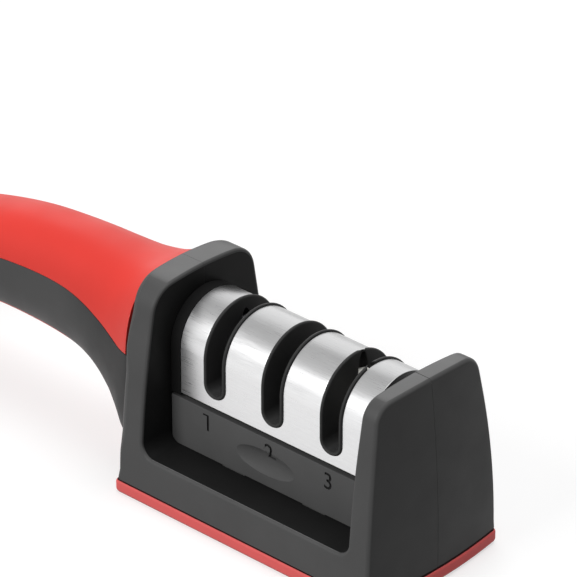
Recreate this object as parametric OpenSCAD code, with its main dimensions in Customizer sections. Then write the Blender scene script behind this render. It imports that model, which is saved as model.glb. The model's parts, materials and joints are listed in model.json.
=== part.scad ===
// Pull-through knife sharpener: a saddle-shaped housing with an arched handle,
// and a lift-out module with three sharpening slots.
// +X points to the nose and -X to the handle, -Y is the numbered front side, +Z is up.
// The origin is the centre of the sole's underside, below the housing.

/* [Housing] */
// Length of the housing at its bottom rim
housing_l = 90.8; // [86:0.2:100]
// Width of the housing at its bottom rim
housing_w = 49.2; // [47:0.2:56]
// Width of the housing at the shoulders of its arches
shoulder_w = 40; // [37:0.2:44]
// Height at which the shoulder width is measured
shoulder_z = 50; // [47:0.5:54]
// Outward bow of the flanks between rim and shoulder
side_bow = 1; // [0.2:0.05:1.5]
// Height of the arch at the handle end
rear_top_z = 61.8; // [60:0.1:68]
// Height of the nose
nose_top_z = 58.2; // [57.5:0.1:64]
// Corner radius of the rear arch
rear_corner_r = 8.5; // [5:0.5:10]
// Corner radius of the nose
nose_corner_r = 6; // [4:0.5:9]
// Rise of an arch's top between its corners and its middle
crown_rise = 0.6; // [0.2:0.1:1.5]
// Lean of the nose face, degrees
nose_lean = 3.4; // [2:0.1:5]
// Forward bow of the nose face over its height
nose_bow = 0.9; // [0:0.1:1.5]
// How far the nose face bulges in plan
nose_bulge = 2; // [1:0.1:3]
// Lean of the rear face, degrees
rear_lean = 0.6; // [0:0.1:1.5]
// Wall thickness of the shells
housing_wall = 2.4; // [1.8:0.1:2.6]
// Length of the saddle between the two arches
opening_l = 72.6; // [70:0.2:75]
// Height of the deck that the module stands on
deck_z = 14.2; // [13.8:0.1:15]
// Thickness of the deck
deck_t = 2.2; // [1.8:0.1:2.6]
// Corner radius at the bottom of the saddle's windows
sill_r = 4; // [2:0.5:6]

/* [Sole and base] */
// Height of the sole's band, which is where the shells begin
sole_h = 4; // [3.8:0.1:4.4]
// Thickness of the sole under the base plate
sole_floor = 1.8; // [1.4:0.1:2]
// How far the sole stands out from the shells
sole_proud = 0.5; // [0.2:0.1:1]
// Corner radius of the sole in plan
sole_corner_r = 1.8; // [1.6:0.1:4]
// Width of a tread groove
tread_w = 1.6; // [1:0.1:2.5]
// Depth of a tread groove
tread_depth = 0.5; // [0.3:0.1:0.9]

/* [Handle] */
// Reach of the handle behind the housing
handle_l = 118; // [105:1:130]
// Width of the handle where the hand holds it
handle_w = 27; // [24:0.5:30]
// Height of the handle's top where the hand holds it
handle_top_z = 58.4; // [56:0.2:60]
// Step from the rear arch's flanks in to the handle's
arch_step = 0.5; // [0.3:0.1:1]
// Step from the rear arch's top down to the handle's
crown_step = 1.8; // [0.5:0.1:2.5]
// Thickness of the soft grip
grip_t = 1.6; // [1.2:0.1:2]
// Thickness of the soft strip under the handle
strip_t = 1.2; // [0.9:0.1:1.4]
// Wall of the handle core under the grip
core_wall = 1.9; // [1.5:0.1:2.4]

/* [Module] */
// Radius of the steel cover's round top, half its width
cover_r = 12.9; // [12.7:0.05:13.1]
// Height of the axis of that round top
cover_axis_z = 43; // [42:0.1:44]
// Height of the steel cover's lower edge
cover_low_z = 30.1; // [29.9:0.1:30.3]
// Length of the steel cover
cover_l = 65; // [64.4:0.1:65.6]
// Sheet thickness of the steel cover
cover_t = 0.8; // [0.6:0.05:0.9]
// Distance between neighbouring slots
slot_pitch = 20.3; // [20:0.05:20.6]
// Width of a slot in the steel cover
slot_w = 7.6; // [7.2:0.1:8]
// Lowest point of a slot in the steel cover
slot_low_z = 32.9; // [32.7:0.1:33.4]
// Width of the blade path inside a slot's rim
blade_path_w = 5.5; // [5:0.1:5.8]
// How far a slot's rim stands out from the cover
rim_proud = 0.5; // [0.3:0.1:0.8]
// Thickness of a release panel
panel_t = 2; // [1.8:0.1:2.2]
// Travel of a release panel when it is pressed
panel_travel = 1.2; // [0.8:0.1:1.2]
// Length of a thumb dimple
dimple_l = 20.8; // [16:0.2:24]
// Height of a thumb dimple
dimple_h = 7.2; // [5:0.2:9]
// Depth of a thumb dimple
dimple_depth = 1.1; // [0.6:0.1:1.3]
// Thickness of the carrier's walls and floor
carrier_wall = 1.8; // [1.6:0.1:2]
// Thickness of a partition between two blocks
partition_t = 3; // [2.6:0.1:3.4]

/* [Abrasives] */
// Diameter of a diamond rod
diamond_rod_d = 3.2; // [2.8:0.1:3.6]
// Diameter of a ceramic rod
ceramic_rod_d = 3.6; // [3:0.1:3.8]
// Length of a rod
rod_l = 21; // [18:0.5:22]
// Lean of a diamond rod from upright, degrees
diamond_lean = 20; // [16:1:22]
// Lean of a ceramic rod from upright, degrees
ceramic_lean = 17; // [15:1:20]
// Length of a carbide plate
plate_l = 12; // [10:0.5:12]
// Width of a carbide plate
plate_w = 5; // [4:0.2:5.2]
// Thickness of a carbide plate
plate_t = 2; // [1.6:0.1:2.2]
// Lean of a carbide plate from upright, degrees
plate_lean = 22; // [18:1:24]
// Height at which crossed abrasives meet
contact_z = 40.5; // [39.5:0.1:41.5]

/* [Fasteners] */
// Shank diameter of every screw
screw_d = 2; // [1.8:0.1:2.2]
// Head diameter of every screw
head_d = 4.2; // [3.8:0.1:4.4]
// Head height of a base screw and a block screw
head_h = 1.2; // [1:0.1:1.3]
// Head height of a clamp screw and a housing screw
pan_h = 1.7; // [1.4:0.1:2]
// Length of a base screw under its head
base_screw_l = 7; // [5:0.5:7.5]
// Length of a housing screw under its head
housing_screw_l = 15; // [12:0.5:17]
// Length of a block screw under its head
block_screw_l = 9; // [7:0.5:11]
// Length of a clamp screw under its head
clamp_screw_l = 13; // [11:0.5:14]

/* [Clearances] */
// Gap between the module and the housing's end faces
module_gap = 0.3; // [0.2:0.05:0.4]
// Gap around a part that sits in a pocket
seat_gap = 0.1; // [0.05:0.01:0.15]
// Gap around a post or peg that slides
slide_gap = 0.15; // [0.1:0.01:0.2]
// Radial gap between a screw and its pilot hole
thread_gap = 0.05; // [0.03:0.01:0.08]
// Gap between the soft grip and the core it is moulded on
bond_gap = 0.02; // [0.01:0.01:0.04]

/* [Hidden] */

$fn = 64;
front = -1;
back = 1;
overrun = 1;
span = housing_l + handle_l;

// Housing
half_l = housing_l / 2;
half_opening = opening_l / 2;
nose_half_w = housing_w / 2;
nose_plan_r = (nose_half_w * nose_half_w) / (2 * nose_bulge) + nose_bulge / 2;
flank_steps = 7;
nose_steps = 6;
corner_steps = 8;
crown_steps = 3;
end_wall_x = half_opening + housing_wall;
nose_cavity_z = shoulder_z - nose_corner_r;
boss_r = head_d / 2 + 1.5 * thread_gap + housing_wall / 2;
pilot_r = screw_d / 2 + thread_gap;
pass_r = screw_d / 2 + slide_gap;
sink_r = head_d / 2 + slide_gap;

// Sole and base plate
tread_count = 8;
tread_margin_share = 0.8;
base_inset = housing_wall + seat_gap;
base_boss_x = half_opening - housing_wall - boss_r;
base_boss_y_share = 0.6;
base_boss_y = nose_half_w * base_boss_y_share;
base_screw_z = (sole_h + deck_z - deck_t) / 2;
screw_seat_y = housing_screw_l / 3;

// Module
module_half_l = half_opening - module_gap;
cover_half_l = cover_l / 2;
cover_in_r = cover_r - cover_t;
inner_r = cover_in_r - seat_gap;
ledge_z = cover_low_z - cover_t;
shoulder_block_z = slot_low_z - cover_t - seat_gap;
panel_in_y = cover_r - panel_t;
carrier_y = panel_in_y - panel_travel - module_gap;
pocket_y = carrier_y - carrier_wall;
floor_z = deck_z + carrier_wall + seat_gap;
block_half_l = (slot_pitch - partition_t) / 2 - seat_gap;
cheek_x = slot_pitch + block_half_l + seat_gap;
panel_low_z = deck_z + seat_gap;
panel_top_z = ledge_z - slide_gap;
panel_mid_z = (panel_low_z + panel_top_z) / 2;
panel_corner_r = panel_t;
rim_w = slot_w - 2 * seat_gap;
rim_low_z = slot_low_z + seat_gap;
post_r = panel_t;
post_l = 3 * panel_t;
post_x = (cheek_x + module_half_l) / 2;
peg_r = 1.5 * panel_t;
peg_l = deck_t + seat_gap;
peg_x = slot_pitch * 4 / 3;
leg_w = 4 * panel_t;
leg_t = carrier_wall;
leg_l = deck_t + 2 * carrier_wall;
leg_x = slot_pitch / 2 + leg_w / 2;
base_seam_screw_x = (leg_x + leg_w / 2 + base_boss_x - boss_r) / 2;
tab_w = 2.5 * panel_t;
tab_l = panel_t;
dimple_x = -dimple_l / 8;
dimple_z = panel_mid_z - dimple_depth / 2;
leaf_t = cover_t / 3;
leaf_l = slot_pitch - panel_t;
leaf_h = dimple_h;
clamp_x = blade_path_w / 2 + sink_r + seat_gap;
clamp_across = plate_w * 2 / 3;
clamp_along = (clamp_x - clamp_across * cos(plate_lean)) / sin(plate_lean);
clamp_z = contact_z - clamp_across * sin(plate_lean) + clamp_along * cos(plate_lean);
clamp_seat_y = inner_r - pan_h - 2 * cover_t;

// Handle stations, front to tail, as shares: x of the crown and of the underside
// along the handle's reach, heights of crown and underside over the handle's top
// height, width over the handle's width, how much the root's size still counts,
// and the squareness of the section
station_shares = [
    [-0.017, -0.010, 1.000, 0.085, 1.000, 1.00, 3.4],
    [-0.004,  0.004, 1.000, 0.085, 1.000, 1.00, 3.2],
    [ 0.022,  0.045, 0.989, 0.090, 1.000, 0.84, 2.9],
    [ 0.064,  0.072, 0.973, 0.160, 1.000, 0.65, 2.65],
    [ 0.124,  0.107, 0.968, 0.243, 1.000, 0.41, 2.5],
    [ 0.192,  0.166, 0.975, 0.336, 1.000, 0.19, 2.4],
    [ 0.259,  0.234, 0.980, 0.395, 1.000, 0.05, 2.35],
    [ 0.344,  0.319, 0.974, 0.420, 0.990, 0.00, 2.3],
    [ 0.446,  0.420, 0.951, 0.434, 0.990, 0.00, 2.3],
    [ 0.547,  0.514, 0.911, 0.434, 1.000, 0.00, 2.3],
    [ 0.649,  0.598, 0.858, 0.408, 1.005, 0.00, 2.3],
    [ 0.751,  0.683, 0.793, 0.363, 1.000, 0.00, 2.3],
    [ 0.853,  0.768, 0.714, 0.306, 0.985, 0.00, 2.3],
    [ 0.937,  0.844, 0.637, 0.243, 0.930, 0.00, 2.3],
    [ 0.975,  0.895, 0.585, 0.216, 0.850, 0.00, 2.3],
    [ 0.992,  0.932, 0.530, 0.245, 0.660, 0.00, 2.2],
    [ 1.000,  0.962, 0.475, 0.298, 0.410, 0.00, 2.1],
    [ 1.001,  0.985, 0.425, 0.355, 0.150, 0.00, 2.0]
];
last_station = len(station_shares) - 1;
station_steps = 2;
root_ring = 0;
wall_ring = station_steps;
tail_ring = last_station * station_steps;
strip_ring = 2.5 * station_steps;
line_ring = 4 * station_steps;
root_half_w = shoulder_w / 2 + arch_step;
root_top_z = rear_top_z - crown_step;
// Height of the colour line over the section's middle, as shares of its half height
root_line_share = 0.24;
grip_line_share = 0.31;
strip_line_share = -0.74;
strip_tip_share = -0.93;
grip_steps = 5;
side_steps = 4;
strip_steps = 2;
tail_hollow = core_wall / 40;
handle_boss_stations = [6.4, 11];

// Half width of the housing at height z
function flank_y(z) =
    let (t = (z - sole_h) / (shoulder_z - sole_h))
    housing_w / 2 - (housing_w - shoulder_w) / 2 * t + 4 * side_bow * t * (1 - t);

// Right half of an arch's outline, from its lower edge to the middle of its crown
function half_outline(top, r, inset, low) =
    let (zc = top - crown_rise - r, yc = flank_y(zc) - r)
    concat(
        [for (i = [0:flank_steps - 1])
            let (z = low + (zc - low) * i / flank_steps) [flank_y(z) - inset, z]],
        [for (i = [0:corner_steps])
            let (a = 90 * i / corner_steps)
            [yc + (r - inset) * cos(a), zc + (r - inset) * sin(a)]],
        [for (i = [1:crown_steps - 1])
            let (y = yc * (1 - i / crown_steps))
            [y, top - inset - crown_rise * pow(y / yc, 2)]]
    );

function outline(top, r, inset, low) =
    let (half = half_outline(top, r, inset, low), n = len(half))
    concat(half, [[0, top - inset]], [for (i = [n - 1:-1:0]) [-half[i][0], half[i][1]]]);

// Plan outline of the sole and the base plate, grown or shrunk all round
function plan_outline(grow, r) =
    let (w = housing_w / 2 + grow, steps = corner_steps,
         nose = function(y) half_l + grow - nose_bulge * pow(y / nose_half_w, 2))
    concat(
        [for (i = [0:steps]) let (a = 90 * i / steps)
            [nose(w - r) - r + r * cos(a), w - r + r * sin(a)]],
        [for (i = [0:steps]) let (a = 90 + 90 * i / steps)
            [-half_l - grow + r + r * cos(a), w - r + r * sin(a)]],
        [for (i = [0:steps]) let (a = 180 + 90 * i / steps)
            [-half_l - grow + r + r * cos(a), -w + r + r * sin(a)]],
        [for (i = [0:steps]) let (a = 270 + 90 * i / steps)
            [nose(w - r) - r + r * cos(a), -w + r + r * sin(a)]],
        [for (i = [1:steps - 1]) let (y = (w - r) * (2 * i / steps - 1)) [nose(y), y]]
    );

// Value of a station column between rows, along a smooth curve
function smooth(rows, u, column) =
    let (i = min(floor(u), last_station - 1), t = u - i,
         a = rows[max(i - 1, 0)][column], b = rows[i][column],
         c = rows[i + 1][column], d = rows[min(i + 2, last_station)][column])
    b + t * ((c - a) / 2 + t * ((2 * a - 5 * b + 4 * c - d) / 2 + t * (3 * b - a - 3 * c + d) / 2));

// Crown point, underside point, half width and squareness of the handle at station u
function station(u) =
    let (s = station_shares, root = smooth(s, u, 5))
    [[-half_l - handle_l * smooth(s, u, 0),
      handle_top_z * smooth(s, u, 2) + (root_top_z - handle_top_z) * root],
     [-half_l - handle_l * smooth(s, u, 1), handle_top_z * smooth(s, u, 3)],
     handle_w / 2 * smooth(s, u, 4) + (root_half_w - handle_w / 2) * root,
     smooth(s, u, 6)];

// Point on the handle's section: angle 0 at the crown, 90 at the front, 180 at the underside
function section_point(s, angle, inset) =
    let (axis = (s[0] - s[1]) / 2, mid = (s[0] + s[1]) / 2, h = norm(axis),
         w = max(s[2] - inset, tail_hollow), k = max(h - inset, tail_hollow) / h,
         power = 2 / s[3],
         up = sign(cos(angle)) * pow(abs(cos(angle)), power) * k,
         out = angle == 180 || angle == 0 ? 0 : sign(sin(angle)) * pow(abs(sin(angle)), power) * w)
    [mid[0] + axis[0] * up, -out, mid[1] + axis[1] * up];

// Angle at which the section stands at a share of its half height
function line_angle(s, share) = acos(sign(share) * pow(abs(share), s[3] / 2));

function grip_angle(s, ring) =
    line_angle(s, root_line_share
        + (grip_line_share - root_line_share) * min(1, ring / line_ring));

function strip_angle(s, ring) =
    line_angle(s, strip_tip_share
        + (strip_line_share - strip_tip_share) * max(0, min(1, (ring - strip_ring) / line_ring)));

// Depth of the recess for the underside strip
function strip_depth(ring) =
    ring < strip_ring ? bond_gap
        : strip_t * min(1, (ring - strip_ring + 1) / 3) + bond_gap;

// Inset of the hollow, which closes at the tail
function hollow_inset(ring) =
    grip_t + core_wall + max(0, ring - tail_ring + station_steps) * handle_w / 4;

// Joins rings of equal count, each an outer run followed by as many inner points
module loft(rings) {
    n = len(rings[0]);
    m = n / 2;
    last = len(rings) - 1;
    p = [for (ring = rings) each ring];
    sides = [for (r = [0:last - 1]) for (k = [0:n - 1])
        let (a = r * n + k, b = r * n + (k + 1) % n, c = a + n, d = b + n)
        each (norm(p[a] - p[d]) < norm(p[b] - p[c]) ? [[a, b, d], [a, d, c]] : [[a, b, c], [b, d, c]])];
    start = [for (k = [0:m - 2])
        let (a = k, b = k + 1, c = n - 2 - k, d = n - 1 - k) each [[a, c, b], [a, d, c]]];
    finish = [for (k = [0:m - 2])
        let (o = last * n, a = o + k, b = o + k + 1, c = o + n - 2 - k, d = o + n - 1 - k)
        each [[a, b, c], [a, c, d]]];
    polyhedron(points = p, faces = concat(start, sides, finish));
}

// Front half of the handle core, recessed for the grip and the strip
module core_half() {
    loft([for (ring = [root_ring:tail_ring])
        let (s = station(ring / station_steps), top = grip_angle(s, ring), low = strip_angle(s, ring),
             run = concat(
                [for (i = [0:grip_steps]) [top * i / grip_steps, grip_t + bond_gap]],
                [for (i = [0:side_steps]) [top + (low - top) * i / side_steps, 0]],
                [for (i = [0:strip_steps]) [low + (180 - low) * i / strip_steps, strip_depth(ring)]]),
             count = len(run))
        concat(
            [for (q = run) section_point(s, q[0], q[1])],
            [for (i = [count - 1:-1:0]) section_point(s, 180 * i / (count - 1), hollow_inset(ring))])]);
}

module handle_top_grip() {
    color("#e64a42")
    loft([for (ring = [wall_ring:tail_ring])
        let (s = station(ring / station_steps), top = grip_angle(s, ring),
             run = [for (i = [-grip_steps:grip_steps]) top * i / grip_steps], count = len(run))
        concat(
            [for (a = run) section_point(s, a, 0)],
            [for (i = [count - 1:-1:0]) section_point(s, run[i], grip_t)])]);
}

module handle_underside_strip() {
    color("#c2403c")
    loft([for (ring = [strip_ring:tail_ring - 1])
        let (s = station(ring / station_steps), low = strip_angle(s, ring),
             run = [for (i = [-strip_steps:strip_steps]) 180 + (180 - low) * i / strip_steps],
             count = len(run))
        concat(
            [for (a = run) section_point(s, a, 0)],
            [for (i = [count - 1:-1:0]) section_point(s, run[i], strip_depth(ring) - bond_gap)])]);
}

// An arch's outline drawn from x0 to x1
module arch_bar(x0, x1, points) {
    translate([x0, 0, 0]) rotate([90, 0, 90]) linear_extrude(x1 - x0) polygon(points);
}

// Radius of the nose face in plan at height z
function nose_r(z) =
    let (rise = max(z - sole_h, 0), t = min(rise / (nose_top_z - sole_h), 1))
    nose_plan_r - rise * tan(nose_lean) + 4 * nose_bow * t * (1 - t);

// A round form whose front is the nose face
module nose_form(inset) {
    rows = [for (i = [0:nose_steps]) sole_h + (nose_top_z - sole_h) * i / nose_steps];
    high = max(rear_top_z, nose_top_z) + overrun;
    heights = concat([-overrun], rows, [high]);
    translate([half_l - nose_plan_r, 0, 0]) rotate_extrude($fn = 180)
        polygon(concat([[0, -overrun]], [for (z = heights) [nose_r(z) - inset, z]], [[0, high]]));
}

// The housing before its saddle is cut, shrunk by an inset, from height low upwards
module housing_block(inset, low) {
    intersection() {
        union() {
            arch_bar(-housing_l, 0, outline(rear_top_z, rear_corner_r, inset, low));
            arch_bar(0, housing_l, outline(nose_top_z, nose_corner_r, inset, low));
        }
        nose_form(inset);
        translate([-half_l + inset, -span, sole_h]) rotate([0, rear_lean, 0])
            translate([0, 0, -span]) cube([2 * span, 2 * span, 2 * span]);
    }
}

// The space between the arches: square round the module, rounded at the windows
module saddle() {
    top = max(rear_top_z, nose_top_z) + overrun;
    for (side = [front, back])
        translate([0, side == front ? -housing_w : cover_r + seat_gap, 0]) {
            depth = housing_w - cover_r - seat_gap;
            translate([-half_opening, 0, deck_z + sill_r]) cube([opening_l, depth, top]);
            translate([-half_opening + sill_r, 0, deck_z]) cube([opening_l - 2 * sill_r, depth, top]);
            for (x = [-half_opening + sill_r, half_opening - sill_r])
                translate([x, 0, deck_z + sill_r]) rotate([-90, 0, 0]) cylinder(r = sill_r, h = depth);
        }
    translate([-half_opening, -cover_r - 2 * seat_gap, deck_z])
        cube([opening_l, 2 * cover_r + 4 * seat_gap, top]);
}

// The hollow inside both shells
module housing_hollow() {
    deck_low_z = deck_z - deck_t;
    intersection() {
        housing_block(housing_wall, sole_h - overrun);
        union() {
            translate([-housing_l, -housing_w, 0]) cube([2 * housing_l, 2 * housing_w, deck_low_z]);
            translate([-housing_l, -housing_w, 0])
                cube([housing_l - end_wall_x, 2 * housing_w, rear_top_z]);
            translate([end_wall_x, -housing_w, 0]) cube([housing_l, 2 * housing_w, nose_cavity_z]);
        }
    }
}

// Places of the screws that pull the halves together: x, z and half width there
function handle_screw(u) = let (s = station(u), mid = (s[0] + s[1]) / 2) [mid[0], mid[1], s[2] - grip_t];

housing_screw_places = concat(
    [for (i = [-1, 1]) [i * base_seam_screw_x, base_screw_z, flank_y(base_screw_z) - housing_wall / 2]],
    [for (u = handle_boss_stations) handle_screw(u)]);

// Runs its children along +Y at every housing screw
module at_housing_screws() {
    for (p = housing_screw_places) translate([p[0], 0, p[1]]) rotate([-90, 0, 0]) children();
}

module base_screw_places() {
    for (x = [-base_boss_x, base_boss_x]) for (y = [-base_boss_y, base_boss_y])
        translate([x, y, 0]) children();
}

// One shell without its bosses' holes: side is front or back
module shell_half(side) {
    deck_low_z = deck_z - deck_t;
    difference() {
        housing_block(0, sole_h);
        housing_hollow();
        saddle();
        translate([-span, side == front ? 0 : -housing_w, 0]) cube([2 * span, housing_w, span]);
    }
    intersection() {
        base_screw_places() translate([0, 0, sole_h])
            cylinder(r = boss_r, h = deck_low_z - sole_h + seat_gap);
        translate([-span, side == front ? -housing_w : 0, 0]) cube([2 * span, housing_w, span]);
    }
    for (p = housing_screw_places)
        translate([p[0], 0, p[1]]) rotate([side == front ? 90 : -90, 0, 0])
            cylinder(r = sink_r + carrier_wall / 2, h = p[2]);
}

// Holes in the deck for the module's pegs and the panels' legs
module deck_holes() {
    for (x = [-peg_x, peg_x]) translate([x, 0, deck_z - 2 * deck_t])
        cylinder(r = peg_r + slide_gap, h = 3 * deck_t);
    for (x = [-leg_x, leg_x]) for (side = [front, back])
        translate([x - leg_w / 2 - slide_gap,
                   side == front ? -cover_r - seat_gap : panel_in_y - panel_travel - 2 * seat_gap,
                   deck_z - deck_t - overrun])
            cube([leg_w + 2 * slide_gap, panel_t + panel_travel + 3 * seat_gap, deck_t + 2 * overrun]);
}

module base_pilots() {
    base_screw_places() translate([0, 0, sole_h - overrun])
        cylinder(r = pilot_r, h = base_screw_l + overrun);
}

module front_housing_shell() {
    color("#4b4b4b")
    difference() {
        union() {
            shell_half(front);
            core_half();
        }
        deck_holes();
        base_pilots();
        at_housing_screws() translate([0, 0, -housing_screw_l + screw_seat_y - seat_gap])
            cylinder(r = pilot_r, h = housing_screw_l);
    }
}

module back_housing_shell() {
    color("#474747")
    difference() {
        union() {
            shell_half(back);
            mirror([0, 1, 0]) core_half();
        }
        deck_holes();
        base_pilots();
        at_housing_screws() translate([0, 0, -overrun]) cylinder(r = pass_r, h = housing_w);
        at_housing_screws() translate([0, 0, screw_seat_y]) cylinder(r = sink_r, h = housing_w);
    }
}

module housing_screws() {
    color("silver") at_housing_screws() {
        translate([0, 0, screw_seat_y - housing_screw_l]) cylinder(r = screw_d / 2, h = housing_screw_l);
        translate([0, 0, screw_seat_y]) pan_head();
    }
}

// A pan head with its cross recess, seated at z = 0
module pan_head() {
    difference() {
        cylinder(r = head_d / 2, h = pan_h);
        for (turn = [0, 90]) rotate([0, 0, turn])
            translate([-head_d / 4, -head_d / 14, pan_h / 2]) cube([head_d / 2, head_d / 7, pan_h]);
    }
}

module base_plate() {
    color("#3a3a3a")
    difference() {
        translate([0, 0, sole_floor]) linear_extrude(sole_h - sole_floor)
            polygon(plan_outline(-base_inset, sole_corner_r - sole_proud));
        base_screw_places() {
            translate([0, 0, sole_floor - overrun]) cylinder(r = pass_r, h = sole_h);
            translate([0, 0, sole_floor - overrun]) cylinder(r = sink_r, h = head_h + overrun);
        }
    }
}

module base_screws() {
    color("silver") base_screw_places() {
        translate([0, 0, sole_floor + head_h]) cylinder(r = screw_d / 2, h = base_screw_l);
        difference() {
            translate([0, 0, sole_floor]) cylinder(r = head_d / 2, h = head_h);
            for (turn = [0, 90]) rotate([0, 0, turn])
                translate([-head_d / 4, -head_d / 14, sole_floor - overrun])
                    cube([head_d / 2, head_d / 7, overrun + head_h / 2]);
        }
    }
}

module nonslip_sole() {
    color("#dc5c60")
    difference() {
        linear_extrude(sole_h) polygon(plan_outline(sole_proud, sole_corner_r));
        translate([0, 0, sole_floor]) linear_extrude(sole_h)
            polygon(plan_outline(-housing_wall, sole_corner_r - sole_proud));
        for (i = [1:tread_count])
            translate([half_l * tread_margin_share * (2 * i / (tread_count + 1) - 1) - tread_w / 2,
                       -base_boss_y - boss_r, -overrun])
                cube([tread_w, 2 * (base_boss_y + boss_r), overrun + tread_depth]);
    }
}

// Outline of the module: upright flanks and a round top, drawn in Y and Z
module module_outline(r, low) {
    translate([0, cover_axis_z]) circle(r = r, $fn = 96);
    translate([-r, low]) square([2 * r, cover_axis_z - low]);
}

module module_bar(x0, x1, r, low) {
    translate([x0, 0, 0]) rotate([90, 0, 90]) linear_extrude(x1 - x0) module_outline(r, low);
}

// A slot's shape through the whole module: round bottom at low, open at the top
module slot_cut(x, w, low) {
    translate([x - w / 2, -housing_w, low + w / 2]) cube([w, 2 * housing_w, rear_top_z]);
    translate([x, -housing_w, low + w / 2]) rotate([-90, 0, 0]) cylinder(r = w / 2, h = 2 * housing_w);
}

slot_places = [-slot_pitch, 0, slot_pitch];
tab_places = [for (i = [-1, 1]) for (side = [front, back]) [i * slot_pitch / 2, side]];

// Bent tabs under the cover's edge, grown by a gap
module cover_tabs(gap) {
    for (p = tab_places)
        translate([p[0] - tab_w / 2 - gap, p[1] == front ? -cover_in_r - gap : cover_in_r - tab_l - gap,
                   cover_low_z - gap])
            cube([tab_w + 2 * gap, tab_l + 2 * gap, cover_t + 2 * gap]);
}

module steel_cover() {
    color("#d8d8d8") {
        difference() {
            module_bar(-cover_half_l, cover_half_l, cover_r, cover_low_z);
            module_bar(-cover_half_l - overrun, cover_half_l + overrun, cover_in_r, cover_low_z - overrun);
            for (x = slot_places) slot_cut(x, slot_w, slot_low_z);
        }
        for (p = tab_places)
            translate([p[0] - tab_w / 2, p[1] == front ? -cover_in_r : cover_in_r - tab_l, cover_low_z])
                cube([tab_w, tab_l, cover_t]);
    }
}

module module_carrier() {
    color("#2b2b2b")
    difference() {
        union() {
            // Floor and side walls behind the panels
            translate([-module_half_l, -carrier_y, deck_z])
                cube([2 * module_half_l, 2 * carrier_y, ledge_z - deck_z + seat_gap]);
            // Ledge above the panels
            translate([-module_half_l, -cover_in_r, ledge_z])
                cube([2 * module_half_l, 2 * cover_in_r, shoulder_block_z - ledge_z]);
            // End cheeks, stepped for the cover
            for (side = [0, 1]) mirror([side, 0, 0]) {
                module_bar(cover_half_l + seat_gap, module_half_l, cover_r, ledge_z);
                module_bar(cheek_x, cover_half_l + 2 * seat_gap, inner_r, ledge_z);
            }
            // Partitions between the blocks
            for (x = [-slot_pitch / 2, slot_pitch / 2])
                module_bar(x - partition_t / 2, x + partition_t / 2, inner_r, ledge_z);
            for (x = [-peg_x, peg_x]) translate([x, 0, deck_z - peg_l])
                cylinder(r = peg_r, h = peg_l + seat_gap);
        }
        // Pockets for the blocks' lower halves
        for (x = slot_places)
            translate([x - block_half_l - seat_gap, -pocket_y, floor_z])
                cube([2 * (block_half_l + seat_gap), 2 * pocket_y, rear_top_z]);
        cover_tabs(seat_gap);
        // Bores for the panels' posts
        for (x = [-post_x, post_x]) translate([x, 0, panel_mid_z]) for (side = [front, back])
            rotate([side == front ? 90 : -90, 0, 0])
                translate([0, 0, panel_in_y - post_l - panel_travel - seat_gap])
                    cylinder(r = post_r + slide_gap, h = housing_w);
        // Holes for the block screws
        for (x = slot_places) translate([x, 0, deck_z - overrun]) {
            cylinder(r = pass_r, h = housing_w);
            cylinder(r = sink_r, h = head_h + overrun);
        }
    }
}

module stage_block_screws() {
    color("silver") for (x = slot_places) translate([x, 0, deck_z]) {
        translate([0, 0, head_h]) cylinder(r = screw_d / 2, h = block_screw_l);
        difference() {
            cylinder(r = head_d / 2, h = head_h);
            for (turn = [0, 90]) rotate([0, 0, turn])
                translate([-head_d / 4, -head_d / 14, -overrun])
                    cube([head_d / 2, head_d / 7, overrun + head_h / 2]);
        }
    }
}

// One insert at x with its rim, before its pockets are cut
module stage_block(x) {
    difference() {
        union() {
            translate([x - block_half_l, -pocket_y + seat_gap, floor_z])
                cube([2 * block_half_l, 2 * (pocket_y - seat_gap), cover_axis_z - floor_z]);
            module_bar(x - block_half_l, x + block_half_l, inner_r - seat_gap, shoulder_block_z);
            intersection() {
                slot_cut(x, rim_w, rim_low_z);
                module_bar(x - block_half_l, x + block_half_l, cover_r + rim_proud, shoulder_block_z);
            }
        }
        slot_cut(x, blade_path_w, rim_low_z + (rim_w - blade_path_w) / 2);
        translate([x, 0, floor_z - overrun])
            cylinder(r = pilot_r, h = block_screw_l + head_h + deck_z - floor_z + overrun + seat_gap);
    }
}

// A leaning rod's line at the slot x: origin at the rod's lower end
module at_rod(x, side, d, lean) {
    translate([x, side * (d / 2 + slide_gap), contact_z]) rotate([0, -side * lean, 0])
        translate([0, 0, -rod_l / 2]) children();
}

module rod(x, side, d, lean) {
    chamfer = d / 10;
    at_rod(x, side, d, lean) rotate_extrude()
        polygon([[0, 0], [d / 2 - chamfer, 0], [d / 2, chamfer], [d / 2, rod_l - chamfer],
                 [d / 2 - chamfer, rod_l], [0, rod_l]]);
}

module rod_block(x, d, lean) {
    difference() {
        stage_block(x);
        for (side = [front, back])
            at_rod(x, side, d, lean) cylinder(r = d / 2 + seat_gap, h = rod_l + housing_w);
    }
}

module diamond_stage_block() { color("#1c1c1c") rod_block(-slot_pitch, diamond_rod_d, diamond_lean); }
module ceramic_stage_block() { color("#1c1c1c") rod_block(slot_pitch, ceramic_rod_d, ceramic_lean); }
module front_diamond_rod() { color("#8d8f92") rod(-slot_pitch, front, diamond_rod_d, diamond_lean); }
module back_diamond_rod() { color("#8d8f92") rod(-slot_pitch, back, diamond_rod_d, diamond_lean); }
module front_ceramic_rod() { color("#f2f0ea") rod(slot_pitch, front, ceramic_rod_d, ceramic_lean); }
module back_ceramic_rod() { color("#f2f0ea") rod(slot_pitch, back, ceramic_rod_d, ceramic_lean); }

// Places its children on the front carbide plate: x across the plate, z along it
module at_plate(side) {
    rotate([0, 0, side == front ? 0 : 180]) translate([0, -seat_gap, contact_z]) rotate([0, plate_lean, 0])
        translate([0, 0, plate_l / 4]) children();
}

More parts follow.
